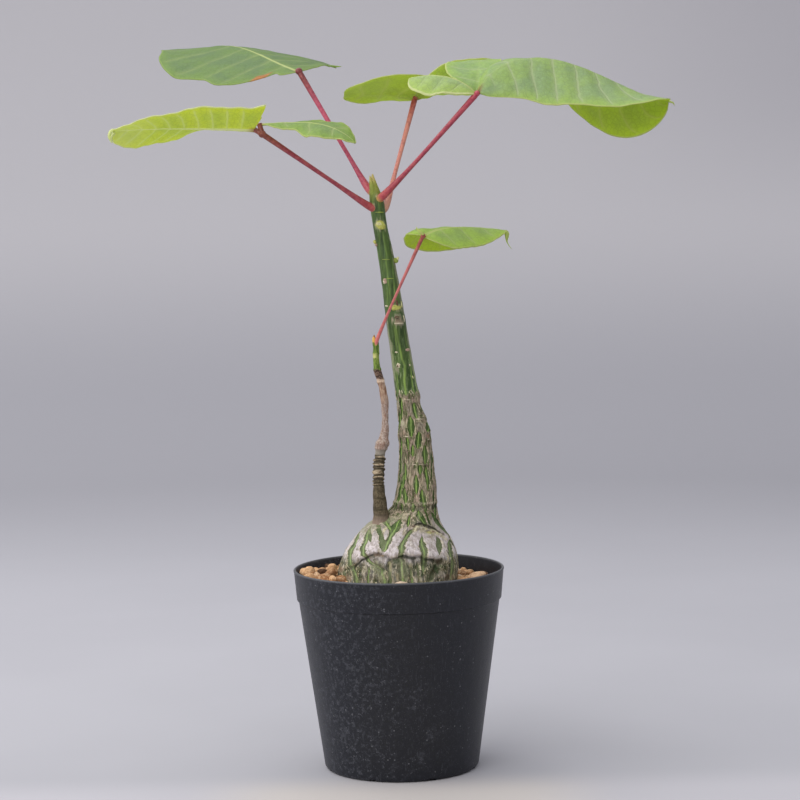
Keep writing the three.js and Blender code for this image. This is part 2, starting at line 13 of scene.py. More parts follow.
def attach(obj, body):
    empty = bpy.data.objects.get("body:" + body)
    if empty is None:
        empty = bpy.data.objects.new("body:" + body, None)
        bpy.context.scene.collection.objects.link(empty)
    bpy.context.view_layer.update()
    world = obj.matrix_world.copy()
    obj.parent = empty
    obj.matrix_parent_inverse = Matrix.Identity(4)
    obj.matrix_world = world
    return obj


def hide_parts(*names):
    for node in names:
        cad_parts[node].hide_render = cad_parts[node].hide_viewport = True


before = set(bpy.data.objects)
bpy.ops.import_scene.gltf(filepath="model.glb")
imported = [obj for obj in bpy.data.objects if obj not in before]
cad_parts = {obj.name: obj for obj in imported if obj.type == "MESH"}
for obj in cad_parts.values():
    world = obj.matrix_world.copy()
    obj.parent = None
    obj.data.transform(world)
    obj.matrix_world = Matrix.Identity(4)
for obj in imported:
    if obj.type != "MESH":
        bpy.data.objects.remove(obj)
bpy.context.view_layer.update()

# Pot
# A 105 mm nursery pot, moulded in one piece from thin black polypropylene, with a stiffening band below its
# rim. Water leaves by eight holes in the floor and by slots through the foot ring. Handling has dusted and
# scuffed it.
MM = 0.001
POT_HEIGHT = 100
RIM_RADIUS = 52.5
FOOT_RADIUS = 38.7
WALL = 1.0
BAND_BOTTOM = 85
BAND_STEP = 0.8
BAND_CORNER = 0.2
FOOT_CORNER = 2.4
FLOOR_TOP = 2.6
FLOOR_CORNER = 1.6
ROUNDED_EDGE = 40  # degrees, as the next
SHARP_EDGE = 38
EDGE_ROUNDING = 0.15
FOOT_RING_INNER = 32
CENTRE_PAD_RADIUS = 11
RECESS = 1.2
DRAIN_HOLES = 8
DRAIN_HOLE_RADIUS = 3.4
DRAIN_CIRCLE_RADIUS = 21.5
SLOT_WIDTH = 4
ROUND_STEPS = 144


def srgb(red, green, blue):
    """A colour as seen on a screen, 0 to 255, as the linear colour that a shader takes."""
    return tuple(((part / 255 + 0.055) / 1.055) ** 2.4 for part in (red, green, blue)) + (1,)


class Finish:
    """A node material whose patterns are laid out in millimetres on the piece."""

    def __init__(self, name):
        self.material = bpy.data.materials.new(name)
        self.material.use_nodes = True
        self.tree = self.material.node_tree
        self.shader = self.tree.nodes["Principled BSDF"]

    def node(self, kind, sockets, output=0, **settings):
        """Adds a node, fills its sockets with values or other outputs, and gives one of its own outputs."""
        made = self.tree.nodes.new("ShaderNode" + kind)
        for setting, value in settings.items():
            setattr(made, setting, value)
        for socket, value in sockets.items():
            self.fill(made.inputs[socket], value)
        return made.outputs[output]

    def fill(self, socket, value):
        if isinstance(value, bpy.types.NodeSocket):
            self.tree.links.new(value, socket)
        else:
            socket.default_value = value

    def place(self, stretch=(1, 1, 1)):
        """Object coordinates in millimetres. A low stretch value makes a pattern longer along that axis."""
        coordinates = self.node("TexCoord", {}, output="Object")
        return self.node("Mapping", {"Vector": coordinates, "Scale": [part / MM for part in stretch]})

    def distance_along(self, axis):
        return self.node("SeparateXYZ", {"Vector": self.place()}, output=axis)

    def height(self):
        return self.distance_along("Z")

    def attribute(self, name, output="Fac"):
        return self.node("Attribute", {}, output=output, attribute_name=name)

    def noise(self, place, scale, detail=3.0, roughness=0.5):
        sockets = {"Vector": place, "Scale": scale, "Detail": detail, "Roughness": roughness}
        return self.node("TexNoise", sockets)

    def cells(self, place, scale, output="Distance", feature="F1"):
        return self.node("TexVoronoi", {"Vector": place, "Scale": scale}, output=output, feature=feature)

    def maths(self, operation, first, second=0.0):
        return self.node("Math", {0: first, 1: second}, operation=operation)

    def plus(self, first, second):
        return self.maths("ADD", first, second)

    def minus(self, first, second):
        return self.maths("SUBTRACT", first, second)

    def times(self, first, second):
        return self.maths("MULTIPLY", first, second)

    def absolute(self, value):
        return self.maths("ABSOLUTE", value)

    def step(self, value, low, high, start=0.0, end=1.0):
        """A smooth change from start to end while the value goes from low to high."""
        sockets = {"Value": value, "From Min": low, "From Max": high, "To Min": start, "To Max": end}
        return self.node("MapRange", sockets, interpolation_type="SMOOTHSTEP")

    def mix(self, share, first, second, blend="MIX"):
        sockets = {0: share, 6: first, 7: second}
        return self.node("Mix", sockets, output=2, data_type="RGBA", blend_type=blend)

    def blend(self, pattern, low, high, first, second):
        """A colour that goes from first to second while a pattern goes from low to high."""
        return self.mix(self.step(pattern, low, high), srgb(*first), srgb(*second))

    def wash(self, under, colour, pattern, low, high, share=1.0):
        """A colour laid over another, up to a share, while a pattern goes from low to high."""
        return self.mix(self.step(pattern, low, high, 0, share), under, srgb(*colour))

    def bump(self, height, depth, strength=1.0):
        sockets = {"Height": height, "Distance": depth * MM, "Strength": strength}
        return self.node("Bump", sockets, output="Normal")

    def surface(self, colour, roughness, normal=None, **constants):
        self.fill(self.shader.inputs["Base Color"], colour)
        self.fill(self.shader.inputs["Roughness"], roughness)
        if normal:
            self.fill(self.shader.inputs["Normal"], normal)
        for name, value in constants.items():
            self.shader.inputs[name.replace("_", " ")].default_value = value
        return self.material


def object_from(shape, name, materials):
    """Turns a bmesh in millimetres into a smooth object whose place is in its mesh."""
    bmesh.ops.scale(shape, vec=(MM, MM, MM), verts=shape.verts)
    for face in shape.faces:
        face.smooth = True
    mesh = bpy.data.meshes.new(name)
    shape.to_mesh(mesh)
    shape.free()
    for material in materials:
        mesh.materials.append(material)
    made = bpy.data.objects.new(name, mesh)
    bpy.context.scene.collection.objects.link(made)
    return made


def close_up(shape, nearest):
    """Merges corners that lie closer than nearest and turns all faces outward."""
    bmesh.ops.remove_doubles(shape, verts=shape.verts, dist=nearest)
    bmesh.ops.recalc_face_normals(shape, faces=shape.faces)


def turned_shape(outline, steps, nearest):
    """A round shape, turned from an outline of radius and height."""
    shape = bmesh.new()
    corners = [shape.verts.new((radius, 0, height)) for radius, height in outline]
    sides = [shape.edges.new(pair) for pair in zip(corners, corners[1:])]
    full_turn = {"cent": (0, 0, 0), "axis": (0, 0, 1), "angle": 2 * math.pi, "use_merge": True}
    bmesh.ops.spin(shape, geom=corners + sides, steps=steps, **full_turn)
    close_up(shape, nearest)
    return shape


def wall_radius(height):
    return FOOT_RADIUS + (RIM_RADIUS - FOOT_RADIUS) * height / POT_HEIGHT


foot_corner = [
    (
        FOOT_RADIUS - FOOT_CORNER + FOOT_CORNER * math.cos(math.radians(turn)),
        FOOT_CORNER + FOOT_CORNER * math.sin(math.radians(turn)),
    )
    for turn in (-90, -68, -45, -22, 0)
]
band_radius = wall_radius(BAND_BOTTOM) + BAND_STEP - BAND_CORNER
pot_outline = [
    (0, 0),
    (CENTRE_PAD_RADIUS, 0),
    (CENTRE_PAD_RADIUS, RECESS),
    (FOOT_RING_INNER, RECESS),
    (FOOT_RING_INNER, 0),
    *foot_corner,
    (wall_radius(BAND_BOTTOM - 0.5) - BAND_CORNER, BAND_BOTTOM - 0.5),
    (band_radius, BAND_BOTTOM),
    (RIM_RADIUS - 0.25, POT_HEIGHT - 1.4),
    (RIM_RADIUS, POT_HEIGHT - 0.9),
    (RIM_RADIUS, POT_HEIGHT - 0.4),
    (RIM_RADIUS - 0.4, POT_HEIGHT),
    (RIM_RADIUS - 0.9, POT_HEIGHT),
    (RIM_RADIUS - WALL - BAND_CORNER, POT_HEIGHT - 0.3),
    (band_radius - WALL, BAND_BOTTOM),
    (wall_radius(BAND_BOTTOM - 1) - WALL - BAND_CORNER, BAND_BOTTOM - 1),
    (wall_radius(FLOOR_TOP + 2) - WALL, FLOOR_TOP + 2),
    (wall_radius(FLOOR_TOP) - WALL - FLOOR_CORNER, FLOOR_TOP),
    (0, FLOOR_TOP),
]
pot_shape = turned_shape(pot_outline, ROUND_STEPS, 0.001)
keen = [edge for edge in pot_shape.edges if edge.calc_face_angle() > math.radians(ROUNDED_EDGE)]
rounding = {"offset": EDGE_ROUNDING, "segments": 2, "profile": 0.5}
bmesh.ops.bevel(pot_shape, geom=keen, affect="EDGES", material=-1, **rounding)

cutter = bmesh.new()
for hole in range(DRAIN_HOLES):
    turn = Matrix.Rotation((hole + 0.5) / DRAIN_HOLES * 2 * math.pi, 4, "Z")
    bmesh.ops.create_cone(
        cutter,
        cap_ends=True,
        segments=32,
        radius1=DRAIN_HOLE_RADIUS,
        radius2=DRAIN_HOLE_RADIUS,
        depth=10,
        matrix=turn @ Matrix.Translation((DRAIN_CIRCLE_RADIUS, 0, 0)),
    )
    slot = Matrix.Diagonal((FOOT_RADIUS - FOOT_RING_INNER + 4, SLOT_WIDTH, 2 * RECESS, 1))
    ring_middle = Matrix.Translation(((FOOT_RING_INNER + FOOT_RADIUS) / 2, 0, 0))
    bmesh.ops.create_cube(cutter, size=1, matrix=turn @ ring_middle @ slot)

# Matt black plastic with a film of dust, hard-water specks, rubbed patches and fine upright scratches. The
# film is laid on more thickly to the left as painted sheen, and a painted highlight runs round the rim's top
# edge
plastic = Finish("pot_plastic")
around = plastic.place()
upright = plastic.place((1, 1, 0.12))
grime = plastic.step(plastic.noise(around, 0.035, 4, 0.6), 0.48, 0.74)
mottle = plastic.step(plastic.noise(around, 0.5, 5, 0.66), 0.42, 0.72)
scratches = plastic.step(plastic.noise(upright, 0.9, 3, 0.6), 0.6, 0.72)
speck_size = plastic.cells(around, 0.3, output="Color")
speck_shape = plastic.cells(around, 0.3)
chosen = plastic.step(plastic.node("SeparateColor", {"Color": speck_size}), 0.5, 0.7)
specks = plastic.times(plastic.step(speck_shape, 0.05, 0.15, 1, 0), chosen)
# Dust, and painted sheen: the film grows stronger towards the left
leftward = plastic.step(plastic.distance_along("X"), 12, -36, 0.3, 1)
dust_and_sheen = plastic.times(plastic.maths("MAXIMUM", grime, leftward), plastic.step(mottle, 0, 1, 0.15, 1))
dust_and_sheen_colour = plastic.mix(plastic.step(dust_and_sheen, 0, 1, 0.01, 0.45), srgb(6, 11, 22), srgb(84, 86, 94))
speckled = plastic.step(dust_and_sheen, 0.05, 0.5, 0.12, 0.75)
fine_specks = plastic.times(plastic.step(plastic.cells(around, 1.0), 0.26, 0.12), speckled)
dust_and_sheen_colour = plastic.mix(fine_specks, dust_and_sheen_colour, srgb(106, 107, 113))
dust_and_sheen_colour = plastic.mix(plastic.times(scratches, 0.2), dust_and_sheen_colour, srgb(94, 96, 104))
dust_and_sheen_colour = plastic.mix(plastic.times(specks, 0.42), dust_and_sheen_colour, srgb(140, 141, 146))
# Painted highlight: a lighter line round the rim's top edge
rim_highlight = plastic.step(plastic.height(), POT_HEIGHT - 1.1, POT_HEIGHT - 0.5, 0, 0.3)
dust_and_sheen_colour = plastic.mix(rim_highlight, dust_and_sheen_colour, srgb(120, 121, 126))
grain = plastic.noise(around, 1.6, 3, 0.6)
relief = plastic.plus(grain, plastic.times(plastic.noise(around, 0.06, 2), 4))
pot_finish = plastic.surface(
    dust_and_sheen_colour,
    plastic.step(plastic.plus(dust_and_sheen, scratches), 0, 1, 0.42, 0.62),
    plastic.bump(relief, 0.12, 0.6),
    Specular_IOR_Level=0.45,
)

pot = object_from(pot_shape, "nursery_pot", [pot_finish])
holes = object_from(cutter, "drain_holes", [])
cut = pot.modifiers.new("drain_holes", "BOOLEAN")
cut.object = holes
cut.operation = "DIFFERENCE"
cut.solver = "MANIFOLD"
drilled = bpy.data.meshes.new_from_object(pot.evaluated_get(bpy.context.evaluated_depsgraph_get()))
pot.modifiers.clear()
pot.data = drilled
pot.data.set_sharp_from_angle(angle=math.radians(SHARP_EDGE))
bpy.data.objects.remove(holes)
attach(pot, "root")
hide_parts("pot")

# Grit
# Fired clay and pumice grains of 3 to 9 mm, poured loose round the caudex to a few millimetres below the
# rim. The grains on top are single stones, bedded in a darker mass of small crumbs that fills the pot.
SOIL_LEVEL = 93
SOIL_SLOPE = -0.05
SETTLED, SETTLED_HALF_WIDTH = 2.6, 39
BED_RINGS, BED_RING_WIDTH = 20, 1.8
CRUMB_TONE = 0.02
GRAIN_TRIES = 4000
GRAIN_SPACING = 6.8
GRAIN_RADIUS = (2.8, 4.5)
CAUDEX_RADIUS = 30.4
SMALL_GRAIN_TRIES = 6000
SMALL_GRAIN_SPACING = 2.9
SMALL_GRAIN_RADIUS = (1.1, 2.3)
INSIDE_CLEARANCE = WALL + 0.8


def soil_level(x, y):
    """Height of the grit, which has settled in front of the caudex."""
    in_front = min(1, max(0, (-15 - y) / 8)) * math.exp(-((x / SETTLED_HALF_WIDTH) ** 4))
    waves = 0.6 * math.sin(x * 0.17) * math.cos(y * 0.13)
    return SOIL_LEVEL + SOIL_SLOPE * x + waves - SETTLED * in_front


def inside_radius(height):
    return wall_radius(height) - INSIDE_CLEARANCE


def random_stream(state):
    """A repeatable stream of numbers from 0 to 1."""
    while True:
        state = (state * 1664525 + 1013904223) % 4294967296
        yield state / 4294967296


def add_grain(shape, tone, centre, radius, flatness, turn, corners=2):
    """Adds one broken, rounded stone, with its own tone for the colour."""
    made = bmesh.ops.create_icosphere(shape, subdivisions=corners, radius=radius)["verts"]
    seed = Vector(centre) * 3.1
    for vertex in made:
        lump = noise.noise(vertex.co * (0.8 / radius) + seed) * 0.42
        facet = noise.noise(vertex.co * (2.1 / radius) + seed) * 0.16
        vertex.co *= 1 + lump + facet
    bmesh.ops.scale(shape, vec=(1, *flatness), verts=made)
    bmesh.ops.rotate(shape, matrix=Euler(turn).to_matrix(), verts=made)
    bmesh.ops.translate(shape, vec=centre, verts=made)
    shade = (noise.cell(seed * 7.3) * 9.7) % 1
    for vertex in made:
        vertex[tone] = shade


grit_shape = bmesh.new()
tone = grit_shape.verts.layers.float.new("tone")
floor_level = FLOOR_TOP + 0.3
bed_depth = SOIL_LEVEL - floor_level
bmesh.ops.create_cone(
    grit_shape,
    cap_ends=True,
    segments=96,
    radius1=inside_radius(floor_level) - 1.6,
    radius2=inside_radius(SOIL_LEVEL),
    depth=bed_depth,
    matrix=Matrix.Translation((0, 0, floor_level + bed_depth / 2)),
)
top = max(grit_shape.faces, key=lambda face: face.calc_center_median().z)
for _ in range(BED_RINGS):
    bmesh.ops.inset_region(grit_shape, faces=[top], thickness=BED_RING_WIDTH, use_even_offset=True)
for vertex in grit_shape.verts:
    vertex[tone] = CRUMB_TONE
    if vertex.co.z > SOIL_LEVEL - 1:
        crumbs = noise.noise(vertex.co * 0.5) * 0.9
        vertex.co.z = soil_level(vertex.co.x, vertex.co.y) + crumbs - 0.6

draw = random_stream(7)
placed = []
for _ in range(GRAIN_TRIES):
    reach = math.sqrt(next(draw)) * inside_radius(SOIL_LEVEL)
    turn = next(draw) * 2 * math.pi
    x, y = reach * math.cos(turn), reach * math.sin(turn)
    least, most = GRAIN_RADIUS
    radius = least + (most - least) * next(draw) ** 1.6
    in_wall = reach + radius * 0.8 > inside_radius(SOIL_LEVEL)
    in_plant = reach < CAUDEX_RADIUS - radius * 0.2
    if in_wall or in_plant or any(math.hypot(a - x, b - y) < GRAIN_SPACING for a, b, _ in placed):
        continue
    placed.append((x, y, radius))
    lumps = [next(draw) for _ in range(12)]
    flatness = (0.75 + 0.3 * next(draw), 0.62 + 0.2 * next(draw))
    tilt = next(draw) - 0.5
    heading = next(draw) * 2 * math.pi
    centre = (x, y, soil_level(x, y) + radius * (0.1 + 0.35 * next(draw)))
    grown = radius * (0.96 + 0.06 * sum(lumps) / 12)
    add_grain(grit_shape, tone, centre, grown, flatness, (tilt, 0, heading), 3)

# Stones that show above the rim: place, radius, flatness and turn
SHOWING = [
    ((-45.6, -6, 99.2), 3.4, (1, 0.85), (0, 0, 0.3)),
    ((-41, -9, 97.2), 2.4, (0.8, 0.8), (0.3, 0, 1.2)),
    ((-37.5, -4, 98.6), 2.9, (0.8, 0.75), (0.2, 0.2, 0.6)),
    ((-33.5, -8, 98.8), 3.4, (0.62, 0.7), (0, -0.5, 0.2)),
    ((-38.5, -15, 97), 2.8, (0.7, 0.7), (0, 0, 0.4)),
    ((-33, 2, 99.8), 2.6, (0.9, 0.8), (0, 0, 0)),
    ((-32.5, -17, 97.4), 2.3, (0.8, 0.7), (0, 0, 2)),
    ((38.3, -7, 95.6), 4.7, (0.5, 0.42), (0, -0.22, 0.15)),
    ((32.6, -9.5, 94.2), 2.3, (0.8, 0.8), (0, 0, 0)),
    ((0.9, -39.51, 97.2), 3.1, (0.8, 0.5), (0, 0, 0.2)),
]
for centre, radius, flatness, turn in SHOWING:
    add_grain(grit_shape, tone, centre, radius, flatness, turn, 3)
    placed.append((centre[0], centre[1], radius))

scatter = random.Random(3)
small = []
for _ in range(SMALL_GRAIN_TRIES):
    reach = math.sqrt(scatter.random()) * inside_radius(SOIL_LEVEL)
    turn = scatter.random() * 2 * math.pi
    x, y = reach * math.cos(turn), reach * math.sin(turn)
    least, most = SMALL_GRAIN_RADIUS
    radius = least + (most - least) * scatter.random() ** 2
    outside = reach + radius > inside_radius(SOIL_LEVEL) or reach < CAUDEX_RADIUS - 0.6
    under_stone = any(math.hypot(a - x, b - y) < other * 0.72 for a, b, other in placed)
    if outside or under_stone or any(math.hypot(a - x, b - y) < SMALL_GRAIN_SPACING for a, b in small):
        continue
    small.append((x, y))
    flatness = (0.7 + 0.3 * scatter.random(), 0.6 + 0.3 * scatter.random())
    turns = (scatter.uniform(-0.6, 0.6), 0, scatter.uniform(0, 2 * math.pi))
    centre = (x, y, soil_level(x, y) + radius * scatter.uniform(0.1, 0.6))
    add_grain(grit_shape, tone, centre, radius, flatness, turns)

# Porous tan stone, finely pitted: each grain has its own shade between cream, ochre and red-brown
stone = Finish("grit_stone")
around = stone.place()
own_tone = stone.attribute("tone")
mottle = stone.noise(around, 0.7, 5, 0.65)
body = stone.blend(own_tone, 0.05, 0.35, (104, 68, 48), (176, 126, 84))
body = stone.wash(body, (208, 164, 122), own_tone, 0.35, 0.7)
body = stone.wash(body, (204, 184, 164), own_tone, 0.8, 0.95)
body = stone.wash(body, (234, 202, 164), mottle, 0.4, 0.72, 0.55)
body = stone.wash(body, (140, 92, 62), mottle, 0.5, 0.28, 0.5)
pits = stone.step(stone.cells(around, 1.5), 0.12, 0.4)
body = stone.wash(body, (120, 80, 55), pits, 0.5, 0, 0.35)
crumbs = stone.step(own_tone, 0.04, 0.03)
body = stone.mix(crumbs, body, stone.mix(stone.noise(around, 1.1, 4), srgb(52, 36, 28), srgb(112, 82, 60)))
relief = stone.plus(stone.times(pits, 0.6), stone.noise(around, 1.8, 4, 0.6))
grit_finish = stone.surface(body, 0.92, stone.bump(relief, 0.35, 0.8), Specular_IOR_Level=0.2)

grit = object_from(grit_shape, "grit", [grit_finish])
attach(grit, "root")
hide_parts("soil")

# Caudex, trunk and bud
# One grown body: thick roots, a swollen base half out of the grit, a tapering trunk and a pointed green bud.
# Its grey bark has split as it swelled, so green living tissue shows in the cracks. Young growth is smooth
# and green.
# Level rings from the root tip to the bud: height, centre x, centre y, radius
TRUNK_RINGS = [
    (30, -3, 2, 0.9),
    (45, -2, 1.5, 3.5),
    (60, 0, 0.5, 9),
    (72, 0, 0, 20.5),
    (84, 0, 0, 28),
    (96, 0, 0, CAUDEX_RADIUS),
    (106, 0.5, 0, 28.8),
    (114, 1.2, 0, 24.5),
    (121, 2.2, 0, 18.9),
    (126, 5.6, 0.4, 14.4),
    (131, 8.4, 0.8, 11),
    (140, 9.6, 1.4, 9.7),
    (152, 9.7, 2, 8.5),
    (162, 9.2, 2.4, 7.9),
    (170, 8.5, 2.6, 7.6),
    (178, 7.2, 2.6, 6.3),
    (192, 4.9, 2.5, 5.6),
    (208, 2.7, 2.2, 5.1),
    (224, 0.5, 1.8, 4.8),
    (240, -1.5, 1.2, 4.3),
    (256, -3.8, 0.7, 3.9),
    (270, -6.3, 0.2, 3.5),
    (282, -7.8, 0, 3.5),
    (290, -9.1, 0, 1.9),
    (295.5, -9.6, 0, 0.3),
]
RING_HEIGHTS = [ring[0] for ring in TRUNK_RINGS]
# Share of the mesh's length at which some of those rows lie: most of it is spent on the caudex and the bark
MESH_SHARES = ((0, 0), (0.03, 3.5), (0.42, 10), (0.72, 16), (1, 24))
AROUND = 320
UPWARDS = 280
LUMPS = {"two_sided": 0.8, "three_sided": 0.6}
KNOBS = [(170, -20, 0.9, 5), (167, 185, 0.3, 4), (159, 95, 1, 4)]  # height, direction, out, half height
KNOB_SPREAD = 0.55
CREASE_LIP, CREASE_DEPTH, CREASE_UNDERCUT = 0.7, 1.0, 0.8
SEAM_LIFT, SEAM_DEPTH = 0.6, 0.9
BARK_TOP = (184.5, 188.5)
CRACK_DEPTH = 0.6
PLATE_RISE = 0.22
CORK_RISE = 0.13
GROWTH_LINE_RISE = 0.1
SHOOT_FOOT = (-8.2, -8.4)
SHOOT_FOOT_SWELL = 1.1
TRUNK_FOOT = 130.6
SCAR_RISE = 0.26
NO_CRACK = 9
SMALL_SIDES, SMALL_STEPS = 20, 24
WELD = 0.002
ROOTS = [
    [(12, -8, 74, 5), (24, -17, 60, 3), (30, -20, 40, 1.2)],
    [(-14, 4, 74, 5), (-27, 10, 58, 3), (-32, 14, 36, 1.2)],
    [(4, 14, 74, 4.5), (9, 27, 60, 2.8), (10, 33, 42, 1.1)],
]
# Cracks in the caudex's bark: 1 where the new tissue shows as a bright line, else 0, then direction, height
# and half width at points from the top down
CRACKS = [
    (0, [(-176, 118, 1.6), (-171, 108.6, 1.8), (-167, 104.5, 2)]),
    (1, [
        (-173, 119, 2.4), (-158, 116.2, 2.8), (-152, 113, 2.3), (-153, 110.5, 2.8), (-148, 108, 2.6),
        (-144, 106, 2.4), (-140, 103, 2), (-133, 98.3, 1.9), (-131, 90, 1.6),
    ]),
    (1, [
        (-142, 120, 1.5), (-135, 116.3, 1.5), (-134, 112.5, 1.8), (-128, 109.4, 1.7), (-121, 106.4, 1.7),
        (-113, 104.7, 1.8), (-107, 103, 1.9), (-104, 98.7, 1.8), (-103, 90, 1.5),
    ]),
    (0, [(-143, 121.5, 0.9), (-134, 118.4, 1.5), (-127, 115.4, 0.4)]),
    (0, [(-138, 123.5, 1.3), (-128, 121.7, 1.1), (-118, 118.9, 1.5), (-112, 116, 1.6), (-109, 112.4, 1.4)]),
    (1, [
        (-107, 125.2, 2.3), (-102, 122.2, 2.3), (-103, 119.1, 1.8), (-106, 115.8, 1.5), (-107, 111.8, 1.3),
    ]),
    (1, [(-150, 127, 3), (-132, 124.7, 2.6), (-114, 122.6, 1.4), (-107, 120.7, 0.5)]),
    (1, [(-92, 127, 0.8), (-89, 125, 1), (-84, 122.8, 0.7)]),
    (1, [
        (-71, 121.4, 1.1), (-75, 120.7, 1.4), (-81, 118.6, 1.5), (-86, 116.6, 1.5), (-89, 114, 1.6),
        (-89, 111, 1.6), (-89, 108.6, 1.5), (-88, 106.3, 1.7), (-87, 102.9, 1.9), (-86, 94, 1.9),
    ]),
    (1, [
        (-60, 117.4, 0.7), (-62, 115.7, 1.6), (-63, 113.5, 2), (-63, 110.3, 2), (-63, 107.5, 1.9),
        (-65, 104.8, 1.4), (-66, 101.5, 0.8),
    ]),
    (0, [(-36, 116.3, 1.2), (-38, 113.9, 2.1), (-41, 111.2, 1.8), (-45, 108.8, 0.8)]),
    (1, [(-14, 113.8, 2.4), (-21, 111, 3.4), (-26, 108.4, 2.8), (-27, 106.3, 1.4)]),
    (1, [(-26, 106.5, 1.4), (-26, 103, 2.4), (-28, 99.7, 2.1), (-30, 96, 1.4)]),
    (0, [(-44, 106, 1.2), (-50, 103.1, 2.2), (-56, 100.5, 1.8), (-61, 96, 1.1)]),
    (1, [(-79, 103.2, 0.5), (-78, 96, 0.7)]),
    (0, [(-72, 105.4, 0.5), (-71, 96, 0.8)]),
    (1, [(-78, 129, 1.8), (-66, 126.1, 2.2), (-49, 122.6, 1.6)]),
    (0, [(-62, 130, 0.6), (-50, 126, 0.7), (-38, 122, 0.6)]),
    (0, [(-38, 127.8, 1.1), (-17, 123, 2.3), (-7, 116.6, 1.9)]),
    (1, [(-120, 103, 0.7), (-119, 95, 0.8)]),
    (0, [(-102, 107, 0.5), (-99, 103, 0.8), (-98, 95, 0.9)]),
    (0, [(-152, 101, 1.2), (-149, 96, 1.4), (-150, 90, 1)]),
]
# Lens-shaped cracks up the trunk's front: direction, height, half height, half width, lean in degrees a mm
LENSES = [
    (-134, 179.4, 5.5, 1.0, 1.4),
    (-67, 178.3, 3.8, 1.5, 0),
    (-99, 170.7, 4.4, 1.8, 0.6),
    (-77, 163.8, 3.6, 1.8, 1.4),
    (-118, 162.5, 3.0, 1.1, -0.4),
    (-16, 171.1, 3.1, 2.8, 5),
    (-101, 158.6, 2.5, 1.0, 0.4),
    (-56, 156.7, 4.2, 1.6, 0.7),
    (-132, 148.4, 3.7, 1.5, -0.3),
    (-79, 149.5, 2.2, 1.3, 0.2),
    (-92, 142.2, 4.1, 1.4, -0.4),
    (-55, 145, 5.3, 1.2, -0.2),
    (-140, 143.2, 2.9, 1.6, -0.2),
    (-124, 136.3, 3.3, 1.5, -2.2),
    (-70, 135.4, 3.7, 1.6, -1.2),
    (-126, 131.2, 1.3, 1.2, -3),
    (-94, 131, 1.6, 1.5, -1.6),
    (-61, 130.6, 1.7, 1.1, -1),
    (-31, 150, 6.1, 0.9, 1.1),
    (-32, 135.2, 3.7, 0.9, -0.3),
    (-152, 132.5, 2.6, 1, -1.2),
    (-157, 158.8, 5, 1.3, 0.4),
    (-160, 171, 4, 1.2, 0),
    (1, 181, 3.8, 1.6, 0),
]
# Bright growth lines up the young green trunk: half width, then direction and height from the top down
GROWTH_LINES = [
    (0.5, [
        (-97, 221), (-95, 216), (-92, 210.7), (-91, 206.7), (-88, 204.1), (-78, 201.2), (-84, 197.6),
        (-94, 193.6), (-97, 184),
    ]),
    (0.3, [(-146, 220), (-150, 211), (-147, 200), (-142, 186)]),
    (0.35, [(-105, 221), (-105, 215.6), (-108, 210)]),
    (0.4, [(-20, 209), (-24, 199.3), (-26, 190.3), (-24, 182)]),
    (0.35, [(-46, 219), (-47, 212.4), (-36, 206), (-46, 198), (-53, 192.6), (-54, 186)]),
    (0.3, [(-128, 199), (-133, 191.2), (-138, 184)]),
    (0.35, [(-52, 252), (-61, 245.7), (-70, 239.3), (-72, 233)]),
    (0.35, [(-96, 253), (-102, 243.3), (-104, 235.4)]),
    (0.3, [(-37, 243), (-41, 234)]),
    (0.35, [(-80, 267), (-84, 260), (-82, 255.5)]),
    (0.3, [(-120, 238), (-124, 231), (-128, 224)]),
    (0.4, [(30, 262), (24, 240), (30, 215), (20, 190)]),
    (0.4, [(88, 258), (96, 236), (90, 208), (96, 190)]),
    (0.4, [(150, 268), (158, 240), (150, 212), (160, 188)]),
]
# Crease across the front of the caudex, where the bark above overhangs: direction and height along it
CREASE = [
    (-165, 101),
    (-145, 103),
    (-135, 105.4),
    (-130, 108.2),
    (-120, 110.6),
    (-112, 111),
    (-105, 110.1),
    (-99, 108.8),
    (-85, 110.1),
    (-67, 109),
    (-54, 107.1),
    (-49, 106.2),
    (-30, 103.5),
]
# Seam below the trunk, where a plate of bark has lifted: direction and height
SEAM = [(-84, 122.6), (-78, 122.3), (-66, 123), (-51, 122), (-34, 120.1), (-22, 116.9)]
